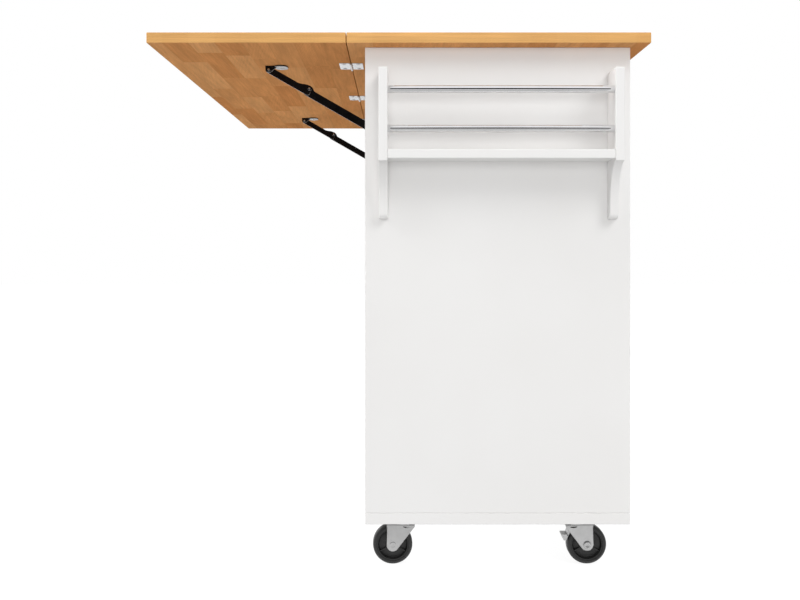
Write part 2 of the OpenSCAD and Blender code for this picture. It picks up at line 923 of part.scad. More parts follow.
// Knuckles of a door hinge on an upright axis: the outer two are fixed, the middle one moves
module door_knuckles(i, z, moving) {
    step = door_hinge_l / 3;
    x = door_axis_x(i);
    for (k = moving ? [1] : [0, 2])
        translate([x, door_axis_y, z - door_hinge_l / 2 + k * step + (k > 0 ? face_gap / 2 : 0)])
            cylinder(d = door_barrel_d, h = step - (k == 1 ? face_gap : face_gap / 2));
}

// A hinge plate in the gap beside the door, against the carcass or against the door
module door_plate(i, z, moving) {
    step = door_hinge_l / 3;
    x = door_axis_x(i);
    outward = doors[i][1] ? 1 : -1;
    side = moving ? outward : -outward;
    plate_x = side > 0 ? x + front_gap / 2 - door_hinge_t : x - front_gap / 2;
    translate([plate_x, body_y0, z - door_hinge_l / 2])
        cube([door_hinge_t, door_hinge_w, door_hinge_l]);
    for (k = moving ? [1] : [0, 2])
        translate([
            plate_x,
            door_axis_y,
            z - door_hinge_l / 2 + k * step + (k > 0 ? face_gap / 2 : 0)
        ])
            cube([door_hinge_t, body_y0 - door_axis_y, step - (k == 1 ? face_gap : face_gap / 2)]);
    door_knuckles(i, z, moving);
}

module door_hinge_plates() {
    color(steel_colour)
        for (i = [0:3])
            for (z = door_hinge_z) {
                door_plate(i, z, false);
                translate([door_axis_x(i), door_axis_y, z - door_hinge_l / 2])
                    cylinder(d = door_pin_d, h = door_hinge_l);
            }
}

module door_hinge_leaves(i) {
    color(steel_colour)
        for (z = door_hinge_z)
            difference() {
                door_plate(i, z, true);
                translate([door_axis_x(i), door_axis_y, z - door_hinge_l])
                    cylinder(r = door_pin_d / 2 + turn_fit, h = 2 * door_hinge_l);
            }
}

module drawer_front(i) {
    color(white_colour)
        front_panel(bay_x[i] + front_gap, drawer_z0 + front_gap,
                    bay_w - 2 * front_gap, drawer_open_h - 2 * front_gap);
}

module drawer_knob(i) {
    knob(bay_x[i] + bay_w / 2, drawer_z0 + drawer_open_h / 2, body_y0 + front_field_d);
}

// An open box behind the drawer front
module drawer_box(i) {
    color(white_colour)
        translate([bay_x[i] + runner_w, behind_front_y, drawer_box_z])
            difference() {
                cube([drawer_w, drawer_l, drawer_h]);
                translate([drawer_side_t, drawer_side_t, drawer_bottom_t])
                    cube([drawer_w - 2 * drawer_side_t, drawer_l - 2 * drawer_side_t, drawer_h]);
            }
}

// A runner's channel, open towards +X, with its web on the YZ plane
module channel(height, depth) {
    difference() {
        cube([depth, runner_l, height]);
        translate([runner_t, -1, runner_t])
            cube([depth, runner_l + 2, height - 2 * runner_t]);
    }
}

// The fixed channels, one on each side of each bay
module drawer_runner_rails() {
    color(steel_colour)
        for (x = bay_x) {
            translate([x, runner_y0, runner_z])
                channel(runner_h, runner_w - runner_side_gap);
            translate([x + bay_w, runner_y0, runner_z])
                mirror([1, 0, 0])
                    channel(runner_h, runner_w - runner_side_gap);
        }
}

// The moving channels on the drawer box, inside the fixed ones
module drawer_runners(i) {
    inset = runner_t + runner_gap;
    color(steel_colour)
        for (side = [0, 1])
            translate([
                bay_x[i] + (side == 0 ? runner_w : bay_w - runner_w),
                runner_y0,
                runner_z + inset
            ])
                mirror([side == 0 ? 1 : 0, 0, 0])
                    channel(runner_h - 2 * inset, runner_w - inset);
}

// ---- Casters ----

// Puts a caster's own frame in place: X along its trail, the swivel axis at its origin
module at_caster(i) {
    translate([casters[i][0], casters[i][1], 0])
        rotate([0, 0, casters[i][2]])
            children();
}

// A cylinder across a caster, round a point in its own X and Z
module bar_across(at, r, half) {
    translate([at.x, half, at.y])
        rotate([90, 0, 0])
            cylinder(r = r, h = 2 * half);
}

// Corner holes or screws of a mounting plate
module at_plate_holes(i) {
    for (x = [-1, 1])
        for (y = [-1, 1])
            translate([
                casters[i][0] + x * plate_hole_l / 2,
                casters[i][1] + y * plate_hole_w / 2,
                caster_h - plate_t
            ])
                children();
}

// Mounting plates, each with its upper race and the king pin
module caster_plates() {
    color(steel_colour)
        for (i = [0:3]) {
            difference() {
                translate([casters[i][0] - plate_l / 2, casters[i][1] - plate_w / 2, caster_h - plate_t])
                    cube([plate_l, plate_w, plate_t]);
                at_plate_holes(i)
                    translate([0, 0, -plate_t])
                        cylinder(d = screw_d, h = 3 * plate_t);
            }
            translate([casters[i][0], casters[i][1], 0]) {
                translate([0, 0, crown_z1 + ring_h + face_gap])
                    cylinder(r = ring_r - 3, h = caster_h - plate_t - crown_z1 - ring_h - face_gap);
                translate([0, 0, crown_z0 - face_gap])
                    cylinder(r = king_r, h = caster_h - plate_t - crown_z0 + face_gap);
                translate([0, 0, crown_z0 - face_gap - king_head_h])
                    cylinder(r = king_head_r, h = king_head_h);
            }
        }
}

module caster_screws() {
    for (i = [0:3])
        at_plate_holes(i)
            screw(plate_t);
}

// One cheek of the fork: upright behind, slanted in front, round at the axle
module cheek() {
    axle = [trail, wheel_r];
    lead = [-cheek_lead, crown_z0 - lead_drop];
    slant = tangent(lead, axle, 0, boss_r, -1);
    difference() {
        union() {
            translate(axle)
                circle(r = boss_r);
            polygon([
                [-cheek_lead, crown_z1], lead, axle + (boss_r - slant_sink) * slant,
                axle, [trail + boss_r, wheel_r], [trail + boss_r, crown_z1]
            ]);
        }
        translate(axle)
            circle(r = axle_d / 2 + rivet_fit);
    }
}

// The fork with its lower race, and the riveted axle as a second solid
module fork(i, braked) {
    axle_half = cheek_out + rivet_fit;
    color(steel_colour)
        at_caster(i) {
            difference() {
                union() {
                    for (side = [-1, 1])
                        translate([0, side > 0 ? cheek_out : -cheek_in, 0])
                            rotate([90, 0, 0])
                                linear_extrude(fork_t)
                                    cheek();
                    translate([-cheek_lead, -cheek_out, crown_z0])
                        cube([cheek_lead + trail + boss_r, 2 * cheek_out, fork_t]);
                    translate([0, 0, crown_z0])
                        cylinder(r = ring_r, h = fork_t + ring_h);
                }
                translate([0, 0, crown_z0 - 1])
                    cylinder(r = king_r + turn_fit, h = fork_t + ring_h + 2);
                if (braked)
                    bar_across(lever_pivot, lever_pin_r + turn_fit, cheek_out + 1);
            }
            bar_across([trail, wheel_r], axle_d / 2, axle_half);
            for (y = [-axle_half, axle_half + axle_head_t])
                translate([trail, y, wheel_r])
                    rotate([90, 0, 0])
                        cylinder(d = axle_head_d, h = axle_head_t);
        }
}

// A wheel turned in one piece: hub, thin web and rim
module wheel(i) {
    half = wheel_w / 2;
    one_side = [
        [hub_r, web_half], [hub_r, half], [hub_r - rim_ease, hub_half], [0, hub_half]
    ];
    rim_side = [
        [tread_edge_r, tread_half + 2], [shoulder_r, half],
        [rim_in + rim_ease, half - rim_ease], [rim_in, web_half]
    ];
    upper = concat([[wheel_r, tread_half]], rim_side, one_side);
    lower = [for (k = [len(upper) - 1:-1:0]) [upper[k].x, -upper[k].y]];
    color(black_colour)
        at_caster(i)
            translate([trail, 0, wheel_r])
                rotate([90, 0, 0])
                    difference() {
                        rotate_extrude()
                            polygon(concat(lower, upper));
                        translate([0, 0, -wheel_w])
                            cylinder(r = axle_d / 2 + turn_fit, h = 2 * wheel_w);
                    }
}

// A foot lever between the cheeks: its pad is pressed down and swings in to the tread
module brake_lever(i) {
    half = cheek_in - lever_side_gap;
    color(steel_colour)
        at_caster(i) {
            bar_across(lever_pivot, lever_pin_r, cheek_out);
            translate([0, half, 0])
                rotate([90, 0, 0])
                    linear_extrude(2 * half) {
                        translate(lever_pivot)
                            circle(r = lever_r);
                        strap(lever_pivot, pad_corners[0], lever_arm_r + 0.2, lever_arm_r);
                        polygon(pad_corners);
                        for (k = [0:3])
                            strap(pad_corners[k], pad_corners[(k + 1) % 4],
                                  pad_corner_r, pad_corner_r);
                    }
        }
}

module cabinet_screws() {
    color(steel_colour) {
        hinge_screws(-1);
        wall_foot_screws();
        caster_screws();
    }
}

worktop();
rack_end_panel();
far_end_panel();
bottom_panel();
back_panel();
centre_partition();
centre_stile();
top_rail();
middle_rails();
runner_packers();
cabinet_shelves();
shelf_pins();
rack_board_left();
rack_board_right();
rack_shelf();
rack_rods();
top_hinge_plates();
cabinet_screws();
stay_wall_feet();
door_hinge_plates();
drawer_runner_rails();
caster_plates();
drop_leaf();
leaf_hinge_plates();
stay_leaf_feet();
leaf_screws();
upper_link(stay_x[0]);  // stay_1_upper_link
lower_link(stay_x[0]);  // stay_1_lower_link
upper_link(stay_x[1]);  // stay_2_upper_link
lower_link(stay_x[1]);  // stay_2_lower_link
fork(0, false);  // caster_1_fork
fork(1, true);  // caster_2_fork
fork(2, false);  // caster_3_fork
fork(3, true);  // caster_4_fork
wheel(0);  // caster_1_wheel
wheel(1);  // caster_2_wheel
wheel(2);  // caster_3_wheel
wheel(3);  // caster_4_wheel
brake_lever(1);  // caster_2_brake_lever
brake_lever(3);  // caster_4_brake_lever
door(0);  // door_1
door(1);  // door_2
door(2);  // door_3
door(3);  // door_4
door_knob(0);  // door_1_knob
door_knob(1);  // door_2_knob
door_knob(2);  // door_3_knob
door_knob(3);  // door_4_knob
door_hinge_leaves(0);  // door_1_hinge_leaves
door_hinge_leaves(1);  // door_2_hinge_leaves
door_hinge_leaves(2);  // door_3_hinge_leaves
door_hinge_leaves(3);  // door_4_hinge_leaves
drawer_front(0);  // drawer_1_front
drawer_front(1);  // drawer_2_front
drawer_box(0);  // drawer_1_box
drawer_box(1);  // drawer_2_box
drawer_knob(0);  // drawer_1_knob
drawer_knob(1);  // drawer_2_knob
drawer_runners(0);  // drawer_1_runners
drawer_runners(1);  // drawer_2_runners
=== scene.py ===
"""Drop leaf kitchen island: its boards, hardware, casters and finishes.

Everything is in metres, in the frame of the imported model. X runs along the island away from
the spice rack, Y towards the drop leaf and Z up. The doors and drawers face -Y.
"""
import json
import math

import bmesh
import bpy
from mathutils import Matrix, Vector


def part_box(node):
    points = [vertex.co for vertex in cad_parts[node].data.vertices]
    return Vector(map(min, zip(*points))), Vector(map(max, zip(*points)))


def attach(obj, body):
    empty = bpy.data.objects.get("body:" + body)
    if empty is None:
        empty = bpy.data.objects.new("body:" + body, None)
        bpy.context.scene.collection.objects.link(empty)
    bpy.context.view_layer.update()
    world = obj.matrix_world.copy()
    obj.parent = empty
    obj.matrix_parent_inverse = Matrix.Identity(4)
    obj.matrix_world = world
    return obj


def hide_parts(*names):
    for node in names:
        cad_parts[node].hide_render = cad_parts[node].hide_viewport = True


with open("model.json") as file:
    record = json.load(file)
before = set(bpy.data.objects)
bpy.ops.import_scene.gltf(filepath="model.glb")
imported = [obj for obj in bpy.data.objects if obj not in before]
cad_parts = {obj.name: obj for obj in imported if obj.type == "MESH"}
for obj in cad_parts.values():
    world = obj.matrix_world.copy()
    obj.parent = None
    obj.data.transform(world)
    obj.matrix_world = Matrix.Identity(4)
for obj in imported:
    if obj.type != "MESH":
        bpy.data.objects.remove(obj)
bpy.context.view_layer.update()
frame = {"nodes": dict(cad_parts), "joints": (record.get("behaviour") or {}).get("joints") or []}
JOINTS = {joint["name"]: joint for joint in frame["joints"]}

# ---- Sizes ----

SEAM_Y = 0.0875
STAVE_W = 0.044
STAVE_L = 0.27
ROW_SEED = 3.7
ROW_SHIFT = 9.0
FINGER_PITCH = 0.0024
FINGER_SLOPE = 4.0
PITH_Z = 0.8365
PITH_SPREAD = 0.12
PITH_ASKEW = 0.16
RINGS_PER_METRE = 1900.0
RING_WANDER = 16.0

WOOD_EASE = 0.0016
PANEL_EASE = 0.0011
RAIL_EASE = 0.0010
HIDDEN_EASE = 0.0005
SPICE_SHELF_EASE = 0.0014
FRONT_EASE = 0.0008
PIN_SHANK_L = 0.008
PIN_REST_T = 0.0016

HINGE_L = 0.057
HINGE_PLATE_T = 0.0012
HINGE_CORNER_R = 0.0025
HINGE_KNUCKLES = 5
HINGE_BARREL_R = 0.0022
HINGE_PIN_R = 0.0012
HINGE_SCREW_REACH = 0.0136
HINGE_SCREW_SPREAD = 0.0214
KNUCKLE_GAP = 0.0003
KNUCKLE_EASE = 0.0003

LINK_T = 0.0025
LINK_GAP = 0.0003
UPPER_LINK_L = 0.0835
ELBOW_RISE = 0.0075
ELBOW_R = 0.005
UPPER_LINK_R = 0.0062
LOWER_LINK_R = 0.0072
UPPER_LINK_RAMP = 0.023
LOWER_LINK_RAMP = 0.010
RIVET_R = 0.0025
RIVET_HEAD_R = 0.0039
RIVET_HEAD_T = 0.0013
RIVET_TIP_R = 0.0019
LEAF_PAD_R = 0.01225
LEAF_PAD_REACH = 0.0225
LEAF_PAD_SHIFT = 0.005
LEAF_PAD_L = 0.038
LEAF_SCREW_SPREAD = 0.0115
WALL_FOOT_W = 0.016
WALL_FOOT_L = 0.052
WALL_SCREW_ACROSS = 0.0093
WALL_SCREW_SPREAD = 0.0177

RACK_STRAIGHT = 0.154
RACK_TIP_D = 0.018
RACK_TIP_R = 0.009
ROD_R = 0.00635
ROD_EASE = 0.0005

FRONT_FRAME_W = 0.046
FRONT_FIELD_D = 0.005
FRONT_FIELD_LAP = 0.004
DRAWER_SIDE_T = 0.012
DRAWER_BOTTOM_T = 0.006
RUNNER_T = 0.0012
DOOR_HINGE_L = 0.050
DOOR_HINGE_W = 0.014
DOOR_HINGE_T = 0.0008
DOOR_BARREL_R = 0.002
DOOR_HINGE_INSET = 0.090

WHEEL_R = 0.0345
WHEEL_HALF = 0.012
RIM_R = 0.0245
TRAIL = 0.020
CHEEK_IN = 0.0125
FORK_T = 0.0016
CHEEK_LEAD = 0.0181
BOSS_R = 0.0105
CROWN_Z0 = 0.0697
CROWN_Z1 = 0.0713
CROWN_BEND_R = 0.0028
SKIRT_Z = 0.0669
RING_R = 0.020
RING_Z1 = 0.0752
RACE_R = 0.0170
KING_PIN_R = 0.0040
PLATE_W = 0.060
PLATE_D = 0.048
PLATE_T = 0.0025
PLATE_SCREW_X = 0.023
PLATE_SCREW_Y = 0.017
AXLE_R = 0.004
FLARE_CREASE = 0.0100
FLARE_BEND = 0.0065
FLARE_SLOPE = math.tan(math.radians(7))
LEVER_AT = Vector((-0.009, 0, 0.0620))
PAD_CORNER_R = 0.0014
PAD_CORNERS = ((-0.0134, 0.0509), (-0.0230, 0.0509), (-0.0196, 0.0429), (-0.0170, 0.0431))

SCREW_HEAD_R = 0.0038
SCREW_HEAD_T = 0.0013
SCREW_RECESS_D = 0.0009
SCREW_R = 0.0020
SCREW_L = 0.0115

SHARP = math.radians(50)

CAMERA_AT = (-2.1265, 0.0040, 0.5440)
LENS_MM = 42.92
LENS_SHIFT = (0.0045, -0.0594)
ROOM_LEVEL = 0.560
FLOOR_LEVEL = 0.570
FLOOR_REACH = 14.0
LAMP_AIM = Vector((-0.5, 0, 0.5))
LAMP_REACH = 5.0
LAMP_SIZE = 2.0
CARD_FAR_X = -2.4
CARD_HALF_W = 3.0
DARK_CARD_LEVEL = 0.004
GREY_CARD_LEVEL = 0.55


# ---- Building the pieces ----

def spot(x=0.0, y=0.0, z=0.0):
    """A place in the model."""
    return Matrix.Translation((x, y, z))


def facing(direction, at):
    """Stands a part's own Z along a direction, at a place."""
    return spot(*at) @ Vector(direction).to_track_quat("Z", "Y").to_matrix().to_4x4()


def slab(low, high):
    """A block from its lowest to its highest corner."""
    part = bmesh.new()
    low, high = Vector(low), Vector(high)
    bmesh.ops.create_cube(part, size=1)
    bmesh.ops.scale(part, vec=high - low, verts=part.verts)
    bmesh.ops.translate(part, vec=(low + high) / 2, verts=part.verts)
    return part


def turned(profile, place=Matrix(), steps=48):
    """A profile of (radius, height) points turned about its own Z axis."""
    part = bmesh.new()
    verts = [part.verts.new((radius, 0, height)) for radius, height in profile]
    edges = [part.edges.new(pair) for pair in zip(verts, verts[1:])]
    bmesh.ops.spin(
        part, geom=verts + edges, cent=(0, 0, 0), axis=(0, 0, 1),
        angle=math.tau, steps=steps, use_merge=True,
    )
    bmesh.ops.remove_doubles(part, verts=part.verts, dist=1e-6)
    bmesh.ops.recalc_face_normals(part, faces=part.faces)
    part.transform(place)
    return part


def cylinder(radius, low, high, ease=0.0):
    """The profile of a cylinder, with its rims softened where asked."""
    if not ease:
        return [(0, low), (radius, low), (radius, high), (0, high)]
    return [
        (0, low), (radius - ease, low), (radius, low + ease),
        (radius, high - ease), (radius - ease, high), (0, high),
    ]


def verts_in(items):
    """The vertices among a bmesh operator's results."""
    return [item for item in items if isinstance(item, bmesh.types.BMVert)]


def cut_sheet(outline, thickness, place=Matrix()):
    """A sheet cut to an outline in its own XY plane, with its thickness along Z."""
    part = bmesh.new()
    face = part.faces.new([part.verts.new((u, v, 0)) for u, v in outline])
    raised = verts_in(bmesh.ops.extrude_face_region(part, geom=[face])["geom"])
    bmesh.ops.translate(part, vec=(0, 0, thickness), verts=raised)
    bmesh.ops.recalc_face_normals(part, faces=part.faces)
    part.transform(place)
    if place.is_negative:
        bmesh.ops.recalc_face_normals(part, faces=part.faces)
    return part


def along_x(x):
    """Lays a sheet's outline in Y and Z, with its thickness from x along X."""
    return Matrix(((0, 0, 1, x), (1, 0, 0, 0), (0, 1, 0, 0), (0, 0, 0, 1)))


def along_y(y):
    """Lays a sheet's outline in X and Z, with its thickness from y along -Y."""
    return Matrix(((1, 0, 0, 0), (0, 0, -1, y), (0, 1, 0, 0), (0, 0, 0, 1)))


def arc(centre, radius, start, end, steps=10):
    """Points on an arc, its angles in degrees."""
    turns = [math.radians(start + (end - start) * i / steps) for i in range(steps + 1)]
    return [(centre[0] + radius * math.cos(a), centre[1] + radius * math.sin(a)) for a in turns]


def rounded_outline(width, height, radius):
    """A rectangle with round corners, centred."""
    u, v = width / 2 - radius, height / 2 - radius
    return [
        *arc((u, v), radius, 0, 90, 5), *arc((-u, v), radius, 90, 180, 5),
        *arc((-u, -v), radius, 180, 270, 5), *arc((u, -v), radius, 270, 360, 5),
    ]


def mesh_of(name, part):
    """The mesh of a part, which it uses up."""
    mesh = bpy.data.meshes.new(name)
    part.to_mesh(mesh)
    part.free()
    return mesh


def placed(name, data):
    """An object of the scene, made of a mesh, lamp or camera."""
    made = bpy.data.objects.new(name, data)
    bpy.context.scene.collection.objects.link(made)
    return made


def joined(parts):
    """One part of several, which it uses up."""
    whole = bmesh.new()
    for part in parts:
        mesh = mesh_of("part", part)
        whole.from_mesh(mesh)
        bpy.data.meshes.remove(mesh)
    return whole


def piece(name, parts, finish, body, stands_for=(), soften=0.0, rounds=2):
    """Makes a piece of its parts, with a finish, on the body that carries it."""
    mesh = mesh_of(name, joined(parts))
    mesh.shade_smooth()
    mesh.materials.append(finish)
    made = placed(name, mesh)
    if soften:
        edges = made.modifiers.new("Soft_edges", "BEVEL")
        edges.width = soften
        edges.segments = rounds
        edges.limit_method = "ANGLE"
        edges.angle_limit = SHARP
        edges.harden_normals = True
    else:
        mesh.set_sharp_from_angle(angle=SHARP)
    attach(made, body)
    if stands_for:
        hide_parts(*stands_for)
    return made


def solid_boxes(node):
    """The box of each separate solid of a CAD node, in order along X, Y and Z."""
    copy = bmesh.new()
    copy.from_mesh(frame["nodes"][node].data)
    bmesh.ops.remove_doubles(copy, verts=copy.verts, dist=1e-6)
    waiting = dict.fromkeys(copy.verts)
    boxes = []
    while waiting:
        group, reach = [], [next(iter(waiting))]
        del waiting[reach[0]]
        while reach:
            vert = reach.pop()
            group.append(vert.co.copy())
            for edge in vert.link_edges:
                other = edge.other_vert(vert)
                if other in waiting:
                    del waiting[other]
                    reach.append(other)
        low = Vector(min(co[i] for co in group) for i in range(3))
        high = Vector(max(co[i] for co in group) for i in range(3))
        boxes.append((low, high))
    copy.free()
    return sorted(boxes, key=lambda box: [round(value, 4) for value in box[0]])


# ---- Finishes ----

def wire(socket, value):
    """Sets an input, or links it where the value is another node's output."""
    if isinstance(value, bpy.types.NodeSocket):
        socket.id_data.links.new(value, socket)
    else:
        socket.default_value = value


def node(tree, kind, values=None, **settings):
    """A shader node of a kind, with its settings and inputs."""
    made = tree.nodes.new(f"ShaderNode{kind}")
    for key, value in settings.items():
        setattr(made, key, value)
    for key, value in (values or {}).items():
        wire(made.inputs[key], value)
    return made


def new_finish(name, slot):
    """A material for one of the record's slots, with its shader and the place on a piece."""
    finish = bpy.data.materials.new(name)
    finish.use_nodes = True
    finish["slot"] = slot
    place = node(finish.node_tree, "TexCoord").outputs["Object"]
    return finish, finish.node_tree.nodes["Principled BSDF"], place


def split(vector):
    """The X, Y and Z of a place or direction."""
    return node(vector.id_data, "SeparateXYZ", {0: vector}).outputs


def calc(operation, *terms):
    """The result of one Math node, in the node tree that its terms come from."""
    tree = next(term.id_data for term in terms if isinstance(term, bpy.types.NodeSocket))
    return node(tree, "Math", dict(enumerate(terms)), operation=operation).outputs[0]


def plus(first, second):
    """The sum of two values."""
    return calc("ADD", first, second)


def minus(first, second):
    """The first value less the second."""
    return calc("SUBTRACT", first, second)


def times(first, second):
    """The product of two values."""
    return calc("MULTIPLY", first, second)


def varied(value, amount, middle=1.0):
    """A middle value that swings by an amount as a noise does."""
    return plus(middle, times(minus(value, 0.5), amount))


def mixed_value(factor, first, second):
    """A value that goes over from the first to the second."""
    return plus(first, times(factor, minus(second, first)))


def remap(value, low, high, to_low, to_high):
    """A value carried smoothly from one range to another."""
    return node(
        value.id_data, "MapRange",
        {"Value": value, "From Min": low, "From Max": high, "To Min": to_low, "To Max": to_high},
        interpolation_type="SMOOTHSTEP",
    ).outputs["Result"]


def noise(place, scale, detail=3.0, roughness=0.5):
    """The value of a noise texture."""
    return node(
        place.id_data, "TexNoise",
        {"Vector": place, "Scale": scale, "Detail": detail, "Roughness": roughness},
    ).outputs[0]


def combined(operation, *terms):
    """The result of one Vector Math node, for places and colours."""
    return node(
        terms[0].id_data, "VectorMath", dict(enumerate(terms)), operation=operation
    ).outputs[0]


def mixed_colour(factor, first, second):
    """A colour that goes over from the first to the second."""
    return node(
        factor.id_data, "Mix", {0: factor, 6: first, 7: second}, data_type="RGBA"
    ).outputs[2]


def two_tones(value, dark, light):
    """A colour between two tones, as a noise goes."""
    ramp = node(value.id_data, "ValToRGB", {"Fac": value})
    stops = ramp.color_ramp.elements
    stops[0].position, stops[0].color = 0.30, (*dark, 1)
    stops[1].position, stops[1].color = 0.70, (*light, 1)
    return ramp.outputs["Color"]


def coat(shader, colour, wear, rough, relief, depth, span=(0.3, 0.7)):
    """Gives a shader its colour, a roughness that follows a noise, and a relief."""
    wire(shader.inputs["Base Color"], colour)
    wire(shader.inputs["Roughness"], remap(wear, *span, *rough))
    raised = node(
        shader.id_data, "Bump", {"Strength": 1.0, "Distance": depth, "Height": relief}
    )
    wire(shader.inputs["Normal"], raised.outputs["Normal"])


def rubberwood():
    """Finger-jointed staves with their own tones, grain and pores, under clear oil."""
    finish, shader, place = new_finish("Oiled_rubberwood", "wood")
    tree = place.id_data
    x, y, z = split(place)
    looks = split(place.node.outputs["Normal"])

    # Which stave: rows across the board, and joints along each row with fingers in the edge
    across = calc("DIVIDE", minus(y, SEAM_Y), STAVE_W)
    row = calc("FLOOR", across)
    row_place = calc("FRACT", across)
    row_dice = node(
        tree, "TexWhiteNoise", {"W": plus(row, ROW_SEED)}, noise_dimensions="1D"
    ).outputs["Value"]
    finger = times(calc("PINGPONG", z, FINGER_PITCH), FINGER_SLOPE)
    length = plus(STAVE_L * 0.8, times(row_dice, STAVE_L * 0.35))
    along = plus(plus(x, finger), times(row_dice, ROW_SHIFT))
    along = calc("DIVIDE", along, length)
    stave = calc("FLOOR", along)
    stave_place = calc("FRACT", along)
    key = node(tree, "CombineXYZ", {0: stave, 1: row}).outputs[0]
    dice = node(tree, "TexWhiteNoise", {"Vector": key}, noise_dimensions="2D")
    tone, random = dice.outputs["Value"], dice.outputs["Color"]
    apart = combined("MULTIPLY", random, (37.0, 23.0, 11.0))

    def grain(scale, detail, roughness=0.5, offset=apart):
        moved = combined("MULTIPLY_ADD", place, scale, offset)
        return noise(moved, 1.0, detail, roughness)

    # Tone of each stave, which the band that closes the ends evens out
    end_band_and_painted_light = remap(calc("ABSOLUTE", looks[0]), 0.6, 0.8, 0.0, 1.0)
    contrast = minus(0.66, times(end_band_and_painted_light, 0.56))
    ramp = node(tree, "ValToRGB", {"Fac": varied(tone, contrast, 0.5)})
    stops = ramp.color_ramp.elements
    stops[0].color = (0.545, 0.248, 0.080, 1)
    stops[1].position, stops[1].color = 1.0, (0.715, 0.415, 0.165, 1)
    for position, colour in ((0.30, (0.615, 0.305, 0.103)), (0.72, (0.675, 0.362, 0.132))):
        stops.new(position).color = (*colour, 1)

    # Growth rings round a pith that lies beside each stave, slightly askew
    pith = split(random)
    side = times(minus(pith[0], 0.5), PITH_SPREAD)
    askew = times(minus(pith[1], 0.5), PITH_ASKEW)
    to_pith = plus(times(minus(row_place, 0.5), STAVE_W), side)
    to_pith = plus(to_pith, times(stave_place, askew))
    depth = minus(z, PITH_Z)
    radius = calc("SQRT", plus(calc("POWER", to_pith, 2.0), calc("POWER", depth, 2.0)))
    wander = grain((4.0, 30.0, 30.0), 2.0)
    rings = calc("SINE", plus(times(radius, RINGS_PER_METRE), times(wander, RING_WANDER)))

    # Streaks and pores run along the stave
    streaks = grain((9.0, 150.0, 150.0), 4.0, 0.6)
    cloud = grain((5.0, 26.0, 26.0), 2.0)
    fibres = grain((40.0, 900.0, 900.0), 2.0, 0.6)
    pores = remap(grain((170.0, 2400.0, 2400.0), 1.0), 0.60, 0.72, 0.0, 1.0)

    # Glue lines between staves
    edge_near = calc("MINIMUM", row_place, minus(1.0, row_place))
    end_near = calc("MINIMUM", stave_place, minus(1.0, stave_place))
    gap = calc("MINIMUM", times(edge_near, STAVE_W), times(end_near, STAVE_L))
    long_grain = minus(1.0, end_band_and_painted_light)
    glue = times(remap(gap, 0.0001, 0.0006, 1.0, 0.0), long_grain)

    # The ends are closed with a band whose grain runs level along the edge
    level = (0, 0, 0)
    streaks = mixed_value(end_band_and_painted_light, streaks, grain((1.0, 7.0, 300.0), 4.0, 0.6, level))
    cloud = mixed_value(end_band_and_painted_light, cloud, grain((1.0, 5.0, 40.0), 2.0, 0.5, level))
    fibres = mixed_value(end_band_and_painted_light, fibres, grain((1.0, 30.0, 1500.0), 2.0, 0.6, level))
    pores = times(pores, long_grain)

    figure = varied(streaks, 0.50)
    figure = times(figure, varied(cloud, 0.44))
    figure = times(figure, varied(fibres, 0.22))
    figure = times(figure, plus(1.0, times(rings, 0.025)))
    figure = minus(figure, times(pores, 0.13))
    figure = minus(figure, times(glue, 0.10))
    colour = combined("MULTIPLY", ramp.outputs["Color"], figure)
    # The end faces are painted paler: painted light, laid over the end band's own grain
    painted_lit_ends = combined("MULTIPLY", colour, (1.10, 1.18, 1.22))
    colour = mixed_colour(end_band_and_painted_light, colour, painted_lit_ends)

    # The underside is left without oil, so only the upper side has the oil's sheen; faces that look
    # down also get painted light, a little redder and lighter
    painted_lift_below = remap(looks[2], -0.9, -0.4, 1.0, 0.0)
    painted_lift_tint = mixed_colour(painted_lift_below, (1, 1, 1, 1), (1.08, 0.98, 1.06, 1))
    colour = combined("MULTIPLY", colour, painted_lift_tint)
    wire(shader.inputs["Specular IOR Level"], remap(looks[2], 0.2, 0.8, 0.0, 0.30))
    relief = minus(minus(times(fibres, 0.35), pores), glue)
    coat(shader, colour, streaks, (0.52, 0.40), relief, 0.00006, span=(0.2, 0.8))
    return finish


def white_lacquer():
    """Sprayed lacquer: nearly even white, with the slight orange peel of a spray gun."""
    finish, shader, place = new_finish("White_lacquer", "white_lacquer")
    tint = noise(place, 5.0, 2.0)
    colour = two_tones(tint, (0.842, 0.833, 0.822), (0.862, 0.856, 0.848))
    peel = noise(place, 420.0, 2.0, 0.4)
    fine = noise(place, 1700.0, 1.0)
    relief = plus(peel, times(fine, 0.25))
    coat(shader, colour, peel, (0.34, 0.42), relief, 0.00002)
    return finish


def black_powder_coat():
    """Baked black powder coat with a fine grain, painted much lighter where it faces the floor, as a
    painted reflection of the floor.
    """
    finish, shader, place = new_finish("Black_powder_coat", "black_steel")
    patch = noise(place, 60.0, 2.0)
    black = two_tones(patch, (0.0024, 0.0025, 0.0032), (0.0042, 0.0043, 0.0052))
    # Faces that look down are painted light grey: a painted reflection of the pale floor
    below = remap(split(place.node.outputs["Normal"])[2], -0.75, -0.35, 1.0, 0.0)
    colour = mixed_colour(below, black, (0.60, 0.60, 0.61, 1))
    shader.inputs["Specular IOR Level"].default_value = 0.12
    grain = noise(place, 2600.0, 2.0, 0.6)
    coat(shader, colour, patch, (0.34, 0.42), grain, 0.00001)
    return finish


def black_nylon():
    """Moulded nylon: satin, with a faint flow pattern and the mould's fine grain."""
    finish, shader, place = new_finish("Black_nylon", "wheel")
    flow = noise(place, 70.0, 3.0)
    colour = two_tones(flow, (0.010, 0.010, 0.010), (0.016, 0.016, 0.016))
    grain = noise(place, 1500.0, 2.0)
    coat(shader, colour, flow, (0.40, 0.52), grain, 0.00001)
    return finish


def metal(name, slot, dark, light, rough, mottle=90.0, depth=0.000004):
    """A metal whose tone and roughness vary a little over its surface."""
    finish, shader, place = new_finish(name, slot)
    colour = two_tones(noise(place, mottle, 3.0, 0.55), dark, light)
    shader.inputs["Metallic"].default_value = 1.0
    grain = noise(place, 900.0, 2.0, 0.6)
    coat(shader, colour, grain, rough, grain, depth)
    return finish


